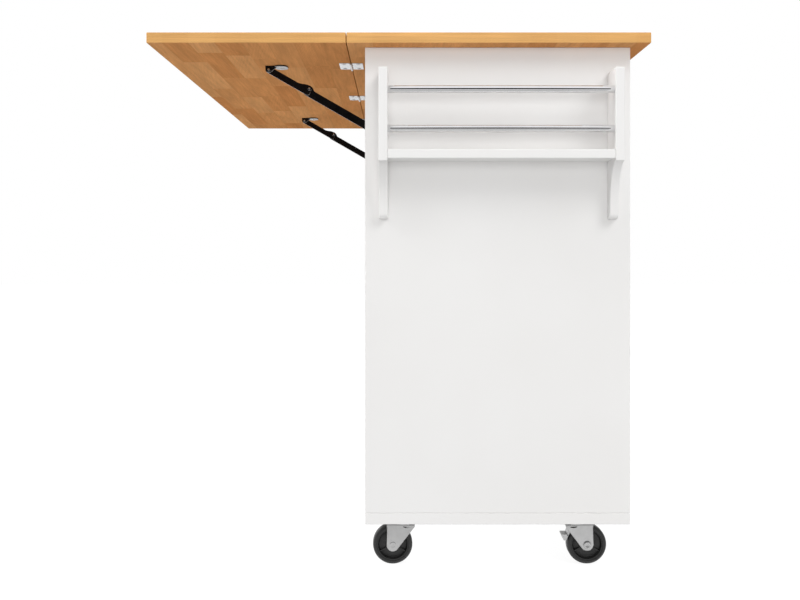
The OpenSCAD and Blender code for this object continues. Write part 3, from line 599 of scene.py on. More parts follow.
WOOD = rubberwood()
WHITE = white_lacquer()
BLACK = black_powder_coat()
NYLON = black_nylon()
STEEL = metal("Bright_zinc_plate", "steel", (0.61, 0.62, 0.63), (0.67, 0.68, 0.69), (0.26, 0.36))
ZINC = metal(
    "Pressed_zinc_plate", "zinc", (0.455, 0.455, 0.455), (0.505, 0.505, 0.505), (0.30, 0.42),
)
CHROME = metal(
    "Bright_chrome", "chrome", (0.78, 0.78, 0.79), (0.83, 0.83, 0.84), (0.03, 0.05),
    mottle=30.0, depth=0.0000003,
)
NICKEL = metal(
    "Satin_nickel", "satin_nickel", (0.58, 0.56, 0.53), (0.64, 0.62, 0.59), (0.22, 0.30),
    mottle=60.0,
)


# ---- Camera and light ----

def camera():
    """Looks level at the rack end, as the photograph does."""
    lens = bpy.data.cameras.new("Camera")
    lens.lens = LENS_MM
    lens.sensor_width = 36.0
    lens.shift_x, lens.shift_y = LENS_SHIFT
    lens.clip_start = 0.05
    lens.clip_end = 50.0
    made = placed("Camera", lens)
    made.location = CAMERA_AT
    made.rotation_euler = (math.radians(90), 0, math.radians(-90))
    bpy.context.scene.camera = made


def cleared(owner):
    """The emptied node tree of a world or a stage material."""
    owner.use_nodes = True
    owner.node_tree.nodes.clear()
    return owner.node_tree


def glow(tree, level, kind="Emission"):
    """Even white light of a level."""
    return node(tree, kind, {"Color": (1, 1, 1, 1), "Strength": level}).outputs[0]


def seen_white(tree, seen, lit):
    """One shader for rays that see the background, another for light on the object."""
    path = node(tree, "LightPath").outputs
    direct = calc("MAXIMUM", path["Is Camera Ray"], path["Is Glossy Ray"])
    direct = calc("MAXIMUM", direct, path["Is Transmission Ray"])
    return node(tree, "MixShader", {0: direct, 1: lit, 2: seen}).outputs[0]


def studio_light():
    """An even white room, and soft lamps in front, above the right and at the left."""
    world = bpy.data.worlds.new("White_room")
    bpy.context.scene.world = world
    tree = cleared(world)
    white, room = (glow(tree, level, "Background") for level in (1.0, ROOM_LEVEL))
    node(tree, "OutputWorld", {"Surface": seen_white(tree, white, room)})

    for name, side, height, watts in (
        ("Front_lamp", 0, 5, 62.0), ("Key_lamp", 45, 40, 78.0), ("Side_lamp", -85, 30, 140.0),
    ):
        lamp = bpy.data.lights.new(name, "AREA")
        lamp.shape = "SQUARE"
        lamp.size = LAMP_SIZE
        lamp.energy = watts
        made = placed(name, lamp)
        side, height = math.radians(side), math.radians(height)
        away = Vector((-math.cos(height) * math.cos(side), -math.cos(height) * math.sin(side),
                       math.sin(height)))
        made.location = LAMP_AIM + LAMP_REACH * away
        made.rotation_euler = away.to_track_quat("Z", "Y").to_euler()
        made.visible_glossy = False


def stage_plane(name, corners, finish):
    """A flat piece of the studio."""
    part = bmesh.new()
    part.faces.new([part.verts.new(corner) for corner in corners])
    mesh = mesh_of(name, part)
    mesh.materials.append(finish)
    made = placed(name, mesh)
    return made


def floor():
    """A pale floor that keeps a light shadow."""
    finish = bpy.data.materials.new("Pale_floor")
    tree = cleared(finish)
    paint = node(tree, "BsdfDiffuse", {"Color": (0.20, 0.20, 0.20, 1)})
    seen = node(tree, "AddShader", {0: glow(tree, 0.90), 1: paint.outputs[0]})
    lit = glow(tree, FLOOR_LEVEL)
    node(tree, "OutputMaterial", {"Surface": seen_white(tree, seen.outputs[0], lit)})
    ends = ((-1, -1), (1, -1), (1, 1), (-1, 1))
    stage_plane("Floor", [(u * FLOOR_REACH, v * FLOOR_REACH, 0) for u, v in ends], finish)


def reflection_cards():
    """Cards behind and below the camera, which show only in reflections."""
    w, far = CARD_HALF_W, CARD_FAR_X
    behind = [(far, y, z) for y, z in ((-w, 0.35), (w, 0.35), (w, 1.7), (-w, 1.7))]
    below = [(x, y, 0.001) for x, y in ((-0.8, -w), (-0.8, w), (far, w), (far, -w))]
    for name, corners, level in (
        ("Dark_card", behind, DARK_CARD_LEVEL), ("Grey_card", below, GREY_CARD_LEVEL),
    ):
        finish = bpy.data.materials.new(name)
        tree = cleared(finish)
        node(tree, "OutputMaterial", {"Surface": glow(tree, level)})
        card = stage_plane(name, corners, finish)
        card.visible_camera = card.visible_diffuse = False
        card.visible_transmission = card.visible_shadow = False


# ---- Worktop and cabinet ----

def board(name, cad, ease, finish=WHITE, body="cabinet"):
    """The plain rectangular boards of a CAD node, their edges rounded as they were sanded."""
    parts = [slab(low, high) for low, high in solid_boxes(cad)]
    piece(name, parts, finish, body, [cad], soften=ease, rounds=3)


def boards():
    """The worktop, the leaf and every plain board of the cabinet and rack."""
    board("Worktop_boards", "worktop", WOOD_EASE, WOOD)
    board("Leaf_boards", "drop_leaf", WOOD_EASE, WOOD, "leaf")
    board("Rack_end", "rack_end_panel", PANEL_EASE)
    board("Far_end", "far_end_panel", PANEL_EASE)
    board("Cabinet_floor", "bottom_panel", PANEL_EASE)
    board("Cabinet_back", "back_panel", HIDDEN_EASE)
    board("Partition", "centre_partition", HIDDEN_EASE)
    board("Stile", "centre_stile", RAIL_EASE)
    board("Upper_rail", "top_rail", RAIL_EASE)
    board("Rails_between", "middle_rails", RAIL_EASE)
    board("Packing_strips", "runner_packers", HIDDEN_EASE)
    board("Shelf_boards", "cabinet_shelves", RAIL_EASE)
    board("Spice_shelf", "rack_shelf", SPICE_SHELF_EASE)


def shelf_pins():
    """Nickel pins: a round shank let into the board, and a flat rest under the shelf."""
    parts = []
    bays = [(low.x + high.x) / 2 for low, high in solid_boxes("cabinet_shelves")]
    shank = [(0, 0), (0.0020, 0), (0.0025, 0.0006), (0.0025, 0.0105), (0, 0.0105)]
    for low, high in solid_boxes("shelf_pins"):
        middle = (low + high) / 2
        bay_middle = min(bays, key=lambda x: abs(x - middle.x))
        inward = 1 if bay_middle > middle.x else -1
        root, tip = (low.x, high.x) if inward > 0 else (high.x, low.x)
        shoulder = root + inward * PIN_SHANK_L
        place = facing((inward, 0, 0), (root, middle.y, middle.z))
        parts.append(turned(shank, place, 20))
        parts.append(slab(
            (min(shoulder, tip), low.y, high.z - PIN_REST_T),
            (max(shoulder, tip), high.y, high.z),
        ))
        collar = facing((inward, 0, 0), (shoulder, middle.y, middle.z))
        parts.append(turned(cylinder(0.0045, 0, 0.0014), collar, 20))
    piece("Shelf_rests", parts, NICKEL, "cabinet", ["shelf_pins"])


# ---- Spice rack ----

def rack_outline(height, depth):
    """Side view of a rack board: X out from the end panel, Y up from its lower end."""
    straight = height - RACK_STRAIGHT
    hollow = [
        (
            depth - (depth - RACK_TIP_D) * math.sin(math.radians(turn)),
            RACK_TIP_R + (straight - RACK_TIP_R) * math.cos(math.radians(turn)),
        )
        for turn in range(0, 91, 5)
    ]
    tip = arc((RACK_TIP_D - RACK_TIP_R, RACK_TIP_R), RACK_TIP_R, 0, -90, 8)[1:]
    return [(0, height), (depth, height), *hollow, *tip, (0, 0)]


def spice_rack():
    """Two shaped side boards, with chrome rods let into them."""
    for side in ("left", "right"):
        cad = f"rack_board_{side}"
        low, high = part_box(cad)
        outline = rack_outline(high.z - low.z, high.x - low.x)
        place = spot(high.x, high.y, low.z) @ Matrix.Scale(-1, 4, (1, 0, 0)) @ along_y(0)
        sheet = cut_sheet(outline, high.y - low.y, place)
        piece(f"Rack_side_{side}", [sheet], WHITE, "cabinet", [cad], soften=0.0016, rounds=3)
    for number, (low, high) in enumerate(solid_boxes("rack_rods"), 1):
        middle = (low + high) / 2
        profile = cylinder(ROD_R, 0, high.y - low.y, ROD_EASE)
        rod = turned(profile, facing((0, 1, 0), (middle.x, low.y, middle.z)), 96)
        piece(f"Rail_rod_{number}", [rod], CHROME, "cabinet", ["rack_rods"])


# ---- Screws, hinges and stays ----

SCREWS = {"leaf": [], "cabinet": []}


def screw(at, out, body):
    """Adds a screw to a body's: a domed head with a cross recess, and its shank."""
    head = bmesh.new()
    bmesh.ops.create_grid(head, x_segments=5, y_segments=5, size=SCREW_HEAD_R)
    cell = 2 * SCREW_HEAD_R / 5
    arms = [
        face for face in head.faces
        if min(abs(face.calc_center_median().x), abs(face.calc_center_median().y)) < cell / 2
        and face.calc_center_median().length < 1.5 * cell
    ]
    for vert in head.verts:
        reach = max(abs(vert.co.x), abs(vert.co.y))
        if reach > 1.2 * cell:
            vert.co.xy = vert.co.xy.normalized() * reach
        if reach < 0.7 * cell:
            vert.co.xy *= 0.75
        elif reach < 1.6 * cell and min(abs(vert.co.x), abs(vert.co.y)) < 0.7 * cell:
            vert.co.x *= 0.75 if abs(vert.co.x) < abs(vert.co.y) else 1.0
            vert.co.y *= 0.75 if abs(vert.co.y) < abs(vert.co.x) else 1.0
        vert.co.z = SCREW_HEAD_T - 0.0005 * (vert.co.xy.length / SCREW_HEAD_R) ** 2
    sunk = bmesh.ops.extrude_face_region(head, geom=arms)["geom"]
    bmesh.ops.delete(head, geom=arms, context="FACES")
    for vert in verts_in(sunk):
        vert.co.z -= SCREW_RECESS_D
        vert.co.xy *= 0.8
    rim = [edge for edge in head.edges if edge.is_boundary]
    for depth in (SCREW_HEAD_T - 0.0006, 0.0):
        skirt = bmesh.ops.extrude_edge_only(head, edges=rim)["geom"]
        rim = [item for item in skirt if isinstance(item, bmesh.types.BMEdge)]
        for vert in verts_in(skirt):
            vert.co.z = depth
    bmesh.ops.contextual_create(head, geom=rim)
    bmesh.ops.recalc_face_normals(head, faces=head.faces)
    place = facing(out, at)
    head.transform(place)
    shank = turned(
        [(0, -SCREW_L), (SCREW_R, 0.0035 - SCREW_L), (SCREW_R, 0.0004), (0, 0.0004)], place, 12
    )
    SCREWS[body] += [head, shank]


def knuckle(radius, low, high, place):
    """One rolled knuckle of a hinge, with softened ends."""
    return turned(cylinder(radius, low, high, KNUCKLE_EASE), place, 32)


def hinge_plate_outline(length, width, first):
    """A hinge plate with round outer corners, cut away where the other plate's knuckles are."""
    step = length / HINGE_KNUCKLES
    notch = HINGE_BARREL_R + KNUCKLE_GAP
    corner = HINGE_CORNER_R
    outer = [
        *arc((length / 2 - corner, width - corner), corner, 0, 90, 6),
        *arc((corner - length / 2, width - corner), corner, 90, 180, 6),
    ]
    inner = []
    for k in range(HINGE_KNUCKLES):
        v = 0.0 if k % 2 == first else notch
        left = -length / 2 + k * step + (KNUCKLE_GAP / 2 if k else 0)
        right = -length / 2 + (k + 1) * step - (KNUCKLE_GAP / 2 if k < HINGE_KNUCKLES - 1 else 0)
        inner += [(left, v), (right, v)]
    return outer + inner


def leaf_hinges():
    """Three steel butt hinges under the seam: each plate with its knuckles, and the pin."""
    axis = Vector(JOINTS["leaf_fold"]["pos_m"])
    plate_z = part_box("worktop")[0].z
    for side, first, body, name, cad in (
        (-1, 0, "cabinet", "Hinge_halves_fixed", "top_hinge_plates"),
        (1, 1, "leaf", "Hinge_halves_moving", "leaf_hinge_plates"),
    ):
        parts = []
        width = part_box("top_hinge_plates")[0].y - axis.y
        for low, high in solid_boxes("leaf_hinge_plates"):
            x = (low.x + high.x) / 2
            outline = hinge_plate_outline(HINGE_L, abs(width), first)
            place = spot(x, axis.y, plate_z - HINGE_PLATE_T) @ Matrix.Scale(side, 4, (0, 1, 0))
            parts.append(cut_sheet(outline, HINGE_PLATE_T, place))
            barrel = facing((1, 0, 0), (x, axis.y, axis.z))
            step = HINGE_L / HINGE_KNUCKLES
            for k in range(first, HINGE_KNUCKLES, 2):
                start = -HINGE_L / 2 + k * step + (KNUCKLE_GAP / 2 if k else 0)
                end = start + step - KNUCKLE_GAP / 2 - (KNUCKLE_GAP / 2 if k else 0)
                parts.append(knuckle(HINGE_BARREL_R, start, end, barrel))
            if side < 0:
                tip = HINGE_L / 2
                pin = [
                    (0, -tip - 0.0005), (0.0008, -tip - 0.0005), (HINGE_PIN_R, -tip),
                    (HINGE_PIN_R, tip), (0.0008, tip + 0.0005), (0, tip + 0.0005),
                ]
                parts.append(turned(pin, barrel, 20))
            for along in (-HINGE_SCREW_SPREAD, HINGE_SCREW_SPREAD):
                at = (x + along, axis.y + side * HINGE_SCREW_REACH, plate_z - HINGE_PLATE_T)
                screw(at, (0, 0, -1), body)
        piece(name, parts, STEEL, body, [cad], soften=0.0003)


def link_outline(length, half_width, ramp):
    """A stay's link: round at its pivot, with the elbow's ear raised on a smooth ramp."""
    ear_turn = 20
    upper = []
    for i in range(13):
        share = i / 12
        u = length - ELBOW_R * 0.5 - ramp * (1 - share)
        top = ELBOW_RISE + ELBOW_R - 0.0004
        v = half_width + (top - half_width) * (1 - math.cos(math.pi * share)) / 2
        upper.append((u, v))
    return [
        *arc((0, 0), half_width, 90, 270, 16),
        *arc((length, 0), half_width, -90, -ear_turn, 8),
        *arc((length, ELBOW_RISE), ELBOW_R, -ear_turn, 105, 12),
        *reversed(upper[:-1]),
    ]


def rivet(at, out):
    """A rivet's low head, lacquered with the stay."""
    radius, height = RIVET_HEAD_R, RIVET_HEAD_T
    dome = [(radius * math.cos(a), height * (0.30 + 0.70 * math.sin(a)))
            for a in (math.radians(turn) for turn in range(0, 90, 15))]
    return turned([(0, 0), (radius, 0), *dome, (0, height)], facing(out, at), 28)


def rivet_tip(at, out):
    """The bare end of a rivet's shank, proud of its head."""
    low, high, radius = RIVET_HEAD_T - 0.0004, RIVET_HEAD_T + 0.0002, RIVET_TIP_R
    profile = [(0, low), (radius, low), (radius, high - 0.0002), (radius * 0.8, high), (0, high)]
    return turned(profile, facing(out, at), 20)


def stay(number):
    """A folding stay: two links that meet at the elbow, and their rivets."""
    leaf_at = Vector(JOINTS[f"stay_{number}_leaf_pivot"]["pos_m"])
    wall_at = Vector(JOINTS[f"stay_{number}_wall_pivot"]["pos_m"])
    upper, lower = f"stay_{number}_upper", f"stay_{number}_lower"
    x = leaf_at.x
    line = (wall_at - leaf_at).normalized()
    up = Vector((0, -line.z, line.y))
    up = up if up.z > 0 else -up
    elbow_foot = leaf_at + line * math.sqrt(UPPER_LINK_L ** 2 - ELBOW_RISE ** 2)
    elbow = elbow_foot + up * ELBOW_RISE
    upper_x = x - LINK_GAP / 2 - LINK_T
    lower_x = x + LINK_GAP / 2
    leaf_ear_x = upper_x - LINK_GAP - LINK_T
    wall_ear_x = lower_x + LINK_T + LINK_GAP

    def link(name, start, towards, half_width, ramp, low_x, body, cad):
        length = (elbow_foot - start).length
        plan = link_outline(length, half_width, ramp)
        outline = [start + towards * u + up * v for u, v in plan]
        part = cut_sheet([(p.y, p.z) for p in outline], LINK_T, along_x(low_x))
        piece(name, [part], BLACK, body, [cad], soften=0.0004)

    link(f"Stay_{number}_arm_upper", leaf_at, line, UPPER_LINK_R, UPPER_LINK_RAMP, upper_x,
         upper, f"{upper}_link")
    link(f"Stay_{number}_arm_lower", wall_at, -line, LOWER_LINK_R, LOWER_LINK_RAMP, lower_x,
         lower, f"{lower}_link")

    def riveted(name, ends, body, shank=()):
        heads = [rivet(at, out) for at, out in ends]
        tips = [rivet_tip(at, out) for at, out in ends]
        piece(f"{name}_heads", heads, BLACK, body)
        piece(f"{name}_tips", tips + [*shank], ZINC, body)

    def rivet_pair(name, at, low_x, high_x, body):
        ends = [((low_x, at.y, at.z), (-1, 0, 0)), ((high_x, at.y, at.z), (1, 0, 0))]
        shank = turned(cylinder(RIVET_R, low_x, high_x), facing((1, 0, 0), (0, at.y, at.z)), 20)
        riveted(name, ends, body, [shank])

    rivet_pair(f"Stay_{number}_leaf_rivet", leaf_at, leaf_ear_x, lower_x, "leaf")
    rivet_pair(f"Stay_{number}_wall_rivet", wall_at, lower_x - LINK_GAP, wall_ear_x + LINK_T,
               "cabinet")
    riveted(f"Stay_{number}_elbow_near", [((upper_x, elbow.y, elbow.z), (-1, 0, 0))], upper)
    riveted(f"Stay_{number}_elbow_far", [((lower_x + LINK_T, elbow.y, elbow.z), (1, 0, 0))], lower)
    return leaf_at, wall_at, leaf_ear_x, wall_ear_x


def strap_outline(start, end, start_r, end_r):
    """An outline with a round end at each of two places."""
    run = Vector(end) - Vector(start)
    turn = math.degrees(math.atan2(run.y, run.x))
    lean = math.degrees(math.acos((start_r - end_r) / run.length))
    return [
        *arc(start, start_r, turn + lean, turn + 360 - lean, 14),
        *arc(end, end_r, turn - lean, turn + lean, 10),
    ]


def stays():
    """Both stays with their feet on the leaf and on the cabinet's back."""
    under_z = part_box("drop_leaf")[0].z
    wall_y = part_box("back_panel")[1].y
    leaf_parts, wall_parts = [], []
    for number in (1, 2):
        leaf_at, wall_at, leaf_ear_x, wall_ear_x = stay(number)
        pad_x = leaf_at.x + LEAF_PAD_SHIFT
        pad_y = leaf_at.y - LEAF_PAD_REACH
        half = LEAF_PAD_L / 2 - LEAF_PAD_R
        pad = strap_outline((-half, 0), (half, 0), LEAF_PAD_R, LEAF_PAD_R)
        leaf_parts.append(cut_sheet(pad, LINK_T, spot(pad_x, pad_y, under_z - LINK_T)))
        heel = Vector((pad_y + LEAF_PAD_R - 0.00475, under_z - LINK_T / 2))
        run = heel - leaf_at.yz
        lean = math.acos((UPPER_LINK_R - LINK_T / 2) / run.length)
        turn = math.degrees(math.atan2(run.y, run.x) + lean) - 360
        fin = [
            (leaf_at.y + UPPER_LINK_R, under_z),
            *arc(leaf_at.yz, UPPER_LINK_R, 0, turn, 14),
            *arc(heel, LINK_T / 2, turn, -200, 4), (heel.x - LINK_T / 2, under_z),
        ]
        leaf_parts.append(cut_sheet(fin, LINK_T, along_x(leaf_ear_x)))
        for side in (-1, 1):
            at = (pad_x + side * LEAF_SCREW_SPREAD, pad_y, under_z - LINK_T)
            screw(at, (0, 0, -1), "leaf")

        plate = rounded_outline(WALL_FOOT_W, WALL_FOOT_L, 0.003)
        plate_place = spot(wall_ear_x + WALL_FOOT_W / 2, wall_y + LINK_T, wall_at.z)
        wall_parts.append(cut_sheet(plate, LINK_T, plate_place @ along_y(0)))
        ear = [
            (wall_y, wall_at.z + LOWER_LINK_R + 0.004),
            *arc((wall_at.y, wall_at.z), LOWER_LINK_R, 90, -90, 16),
            (wall_y, wall_at.z - LOWER_LINK_R - 0.004),
        ]
        wall_parts.append(cut_sheet(ear, LINK_T, along_x(wall_ear_x)))
        for side in (-1, 1):
            at = (wall_ear_x + WALL_SCREW_ACROSS, wall_y + LINK_T,
                  wall_at.z + side * WALL_SCREW_SPREAD)
            screw(at, (0, 1, 0), "cabinet")
    piece("Stay_feet_leaf", leaf_parts, BLACK, "leaf", ["stay_leaf_feet"], soften=0.0004)
    piece("Stay_feet_wall", wall_parts, BLACK, "cabinet", ["stay_wall_feet"], soften=0.0004)


# ---- Casters ----

def caster_place(number):
    """A caster's own frame: X along its trail from the swivel axis, Z up from the floor."""
    swivel = Vector(JOINTS[f"caster_{number}_swivel"]["pos_m"])
    axle = Vector(JOINTS[f"caster_{number}_roll"]["pos_m"])
    turn = math.atan2(axle.y - swivel.y, axle.x - swivel.x)
    return spot(swivel.x, swivel.y, 0) @ Matrix.Rotation(turn, 4, "Z")


def flared(part):
    """Bends the fork's leading half outwards along an upright crease."""
    crease, bend = FLARE_CREASE, FLARE_BEND
    for x in (crease, crease - bend / 3, crease - bend * 2 / 3, crease - bend):
        bmesh.ops.bisect_plane(
            part, geom=[*part.verts, *part.edges, *part.faces],
            plane_co=(x, 0, 0), plane_no=(1, 0, 0),
        )
    for vert in part.verts:
        past = crease - vert.co.x
        if past > 0 and abs(vert.co.y) > 0.0100:
            eased = past * past / (2 * bend) if past < bend else past - bend / 2
            vert.co.y += math.copysign(FLARE_SLOPE * eased, vert.co.y)
    return part


def cheek(side):
    """One cheek of the fork, its outer rim rounded, with a window under the crown."""
    top = SKIRT_Z + 0.0002
    lead = Vector((-CHEEK_LEAD, SKIRT_Z))
    axle = Vector((TRAIL, WHEEL_R))
    run = axle - lead
    turn = math.degrees(math.atan2(run.y, run.x))
    lean = math.degrees(math.acos(-BOSS_R / run.length))
    window = [(x - 0.0040, top + z) for x, z in (
        (0.0068, 0), (0.0060, -0.0013), (0.0040, -0.0022), (0.0015, -0.0026),
        (-0.0015, -0.0026), (-0.0040, -0.0022), (-0.0060, -0.0013), (-0.0068, 0),
    )]
    outline = [
        tuple(lead), *arc(axle, BOSS_R, turn - lean, 0, 16), (TRAIL + BOSS_R, top),
        *window, (-CHEEK_LEAD, top),
    ]
    y = CHEEK_IN if side > 0 else -CHEEK_IN - FORK_T
    sheet = cut_sheet(outline, FORK_T, along_y(y + FORK_T))
    out = side * (CHEEK_IN + FORK_T)
    rim = [
        edge for edge in sheet.edges
        if all(abs(vert.co.y - out) < 1e-6 for vert in edge.verts)
        and min(vert.co.z for vert in edge.verts) < top - 0.003
    ]
    bmesh.ops.bevel(
        sheet, geom=rim, offset=0.0014, offset_type="OFFSET", segments=4, profile=0.5,
        affect="EDGES", material=-1,
    )
    return flared(sheet)


def crown():
    """The fork's top, bent down on both sides into skirts that the cheeks continue."""
    out, inner = CHEEK_IN + FORK_T, CROWN_BEND_R - FORK_T
    bend_y, bend_z = out - CROWN_BEND_R, CROWN_Z1 - CROWN_BEND_R
    right = [(out, SKIRT_Z), *arc((bend_y, bend_z), CROWN_BEND_R, 0, 90, 8)]
    below = [*arc((bend_y, bend_z), inner, 90, 0, 5), (CHEEK_IN, SKIRT_Z)]
    left = [(-y, z) for y, z in reversed(right)]
    left_below = [(-y, z) for y, z in reversed(below)]
    outline = right + left + left_below + below
    return flared(cut_sheet(outline, CHEEK_LEAD + TRAIL + BOSS_R, along_x(-CHEEK_LEAD)))


def caster_fork(number, place):
    """The pressed fork: two cheeks, crown and lower race, and the riveted axle."""
    parts = [cheek(1), cheek(-1), crown()]
    race = turned([
        (0.0045, CROWN_Z0 - 0.0001), (RING_R - 0.002, CROWN_Z0 - 0.0001), (RING_R, CROWN_Z0 + 0.002),
        (RING_R + 0.0003, CROWN_Z1 + 0.001), (RING_R - 0.0008, RING_Z1 - 0.0014),
        (RING_R - 0.0026, RING_Z1), (0.0045, RING_Z1),
    ], steps=56)
    axle_out = CHEEK_IN + FORK_T
    ends = []
    for side in (-1, 1):
        cap = [
            (0, 0), (0.0065, 0), (0.0065, 0.0006), (0.0058, 0.0013), (0.0045, 0.0016),
            (0.0038, 0.0014), (0.0030, 0.0009), (0, 0.0009),
        ]
        ends.append(turned(cap, facing((0, side, 0), (TRAIL, side * axle_out, WHEEL_R)), 36))
    bolt = cylinder(AXLE_R, -axle_out, axle_out)
    ends.append(turned(bolt, facing((0, 1, 0), (TRAIL, 0, WHEEL_R)), 24))
    for part in parts + [race] + ends:
        part.transform(place)
    body = f"caster_{number}"
    piece(f"Caster_{number}_yoke", parts, ZINC, body, [f"caster_{number}_fork"])
    piece(f"Caster_{number}_race", [race], ZINC, body)
    piece(f"Caster_{number}_axle", ends, ZINC, body)


def caster_wheel(number, place):
    """A moulded wheel: tread, stepped rim, recessed web with low ribs, and hub."""
    hub_r, rim_r, web = 0.0100, RIM_R, 0.0030
    half = WHEEL_HALF
    one_side = [
        (0.0042, half + 0.0002), (hub_r - 0.0012, half + 0.0002), (hub_r, half - 0.0008),
        (hub_r + 0.0004, web + 0.0012), (hub_r + 0.0016, web),
        (rim_r - 0.0014, web), (rim_r, web + 0.0014), (rim_r + 0.0008, half - 0.0020),
        (rim_r + 0.0013, half - 0.0013), (rim_r + 0.0028, half - 0.0013),
        (rim_r + 0.0032, half - 0.0006), (rim_r + 0.0040, half), (WHEEL_R - 0.0038, half - 0.0002),
        (WHEEL_R - 0.0020, half - 0.0012), (WHEEL_R - 0.0008, half - 0.0030),
        (WHEEL_R - 0.0002, half - 0.0048), (WHEEL_R, half - 0.0070),
    ]
    other_side = [(radius, -height) for radius, height in reversed(one_side)]
    parts = [turned(one_side + other_side + one_side[:1], steps=96)]
    rib_half = 0.0008
    for k in range(3):
        for side in (-1, 1):
            rib = slab((hub_r - 0.0006, -rib_half, web - 0.0004),
                       (rim_r + 0.0004, rib_half, web + 0.0040))
            rib.transform(Matrix.Rotation(math.radians(120 * k + 90), 4, "Z"))
            if side < 0:
                rib.transform(Matrix.Rotation(math.pi, 4, "Y"))
            parts.append(rib)
    turn = facing((0, 1, 0), (TRAIL, 0, WHEEL_R))
    for part in parts:
        part.transform(place @ turn)
    piece(f"Caster_{number}_tyre", parts, NYLON, f"caster_{number}_rolling",
          [f"caster_{number}_wheel"])


def pad_outline():
    """Side view of the brake's pad, with round corners."""
    corners = [Vector(corner) for corner in PAD_CORNERS]
    outline = []
    for k, corner in enumerate(corners):
        before, after = corner - corners[k - 1], corners[(k + 1) % len(corners)] - corner
        start = math.degrees(math.atan2(-before.x, before.y))
        end = math.degrees(math.atan2(-after.x, after.y))
        outline += arc(corner, PAD_CORNER_R, start, start + (end - start) % 360, 6)
    return outline


def brake_lever(number, place):
    """A foot lever on its pin: a short arm and the pad in front of the tread."""
    half = CHEEK_IN - 0.001
    arm = strap_outline((LEVER_AT.x, LEVER_AT.z), PAD_CORNERS[0], 0.0018, 0.0016)
    across = facing((0, 1, 0), LEVER_AT)
    solid = [
        cut_sheet(arm, 2 * half, along_y(half)), cut_sheet(pad_outline(), 2 * half, along_y(half)),
        turned(cylinder(0.0030, -half, half), across, 28),
        turned(cylinder(0.0016, -0.0141, 0.0141), across, 20),
    ]
    for part in solid:
        part.transform(place)
    piece(f"Caster_{number}_pedal", solid, ZINC, f"caster_{number}_brake",
          [f"caster_{number}_brake_lever"], soften=0.0003)


def casters():
    """Four swivel casters under the cabinet, the two at the front with brakes."""
    plates, races = [], []
    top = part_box("bottom_panel")[0].z
    for number in (1, 2, 3, 4):
        place = caster_place(number)
        caster_fork(number, place)
        caster_wheel(number, place)
        if number in (2, 4):
            brake_lever(number, place)
        at = Vector(JOINTS[f"caster_{number}_swivel"]["pos_m"])
        outline = rounded_outline(PLATE_W, PLATE_D, 0.004)
        under = top - PLATE_T
        plates.append(cut_sheet(outline, PLATE_T, spot(at.x, at.y, under)))
        race = [
            (0, under), (RACE_R - 0.0005, under), (RACE_R, under - 0.001),
            (RACE_R, RING_Z1 + 0.0010), (RACE_R - 0.0007, RING_Z1 + 0.0003), (0, RING_Z1 + 0.0003),
        ]
        king_pin = [
            (0, RING_Z1 + 0.001), (KING_PIN_R, RING_Z1 + 0.001), (KING_PIN_R, CROWN_Z0 - 0.0005),
            (0.0055, CROWN_Z0 - 0.0005), (0.0052, CROWN_Z0 - 0.0016),
            (0.0038, CROWN_Z0 - 0.0023), (0, CROWN_Z0 - 0.0023),
        ]
        for profile in (race, king_pin):
            races.append(turned(profile, spot(at.x, at.y, 0), 48))
        for x in (-PLATE_SCREW_X, PLATE_SCREW_X):
            for y in (-PLATE_SCREW_Y, PLATE_SCREW_Y):
                screw((at.x + x, at.y + y, under), (0, 0, -1), "cabinet")
    piece("Caster_top_plates", plates, ZINC, "cabinet", ["caster_plates"], soften=0.0005)
    piece("Caster_top_races", races, ZINC, "cabinet", ["caster_plates"])


# ---- Doors and drawers ----

def framed_front(low, high):
    """Stiles, rails and the recessed field between them."""
    w, inset = FRONT_FRAME_W, FRONT_FRAME_W - FRONT_FIELD_LAP
    stiles = [
        slab(low, (low.x + w, high.y, high.z)),
        slab((high.x - w, low.y, low.z), high),
    ]
    rails = [
        slab((low.x + w, low.y, low.z), (high.x - w, high.y, low.z + w)),
        slab((low.x + w, low.y, high.z - w), (high.x - w, high.y, high.z)),
    ]
    field = slab((low.x + inset, low.y + FRONT_FIELD_D, low.z + inset),
                 (high.x - inset, high.y - 0.0005, high.z - inset))
    return stiles + rails + [field]


def knob(name, cad, body):
    """A turned knob on a round foot."""
    low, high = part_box(cad)
    middle = (low + high) / 2
    length = high.y - low.y
    r = (high.x - low.x) / 2
    foot_r, neck_r = 0.54 * r, 0.38 * r
    neck = [
        (neck_r + (foot_r - 0.1 * r - neck_r) * (1 - t / 6) ** 2, length * (0.10 + 0.36 * t / 6))
        for t in range(7)
    ]
    head = [(across * r, length * along) for across, along in (
        (0.60, 0.52), (0.80, 0.585), (0.93, 0.66), (0.99, 0.73), (1, 0.77), (0.985, 0.82),
        (0.93, 0.885), (0.82, 0.935), (0.64, 0.97), (0.40, 0.992), (0.20, 1), (0, 1),
    )]
    profile = [(0, 0), (foot_r, 0), (foot_r, length * 0.055), (foot_r * 0.93, length * 0.085)]
    part = turned(profile + neck + head, facing((0, -1, 0), (middle.x, high.y, middle.z)), 64)
    piece(name, [part], NICKEL, body, [cad])


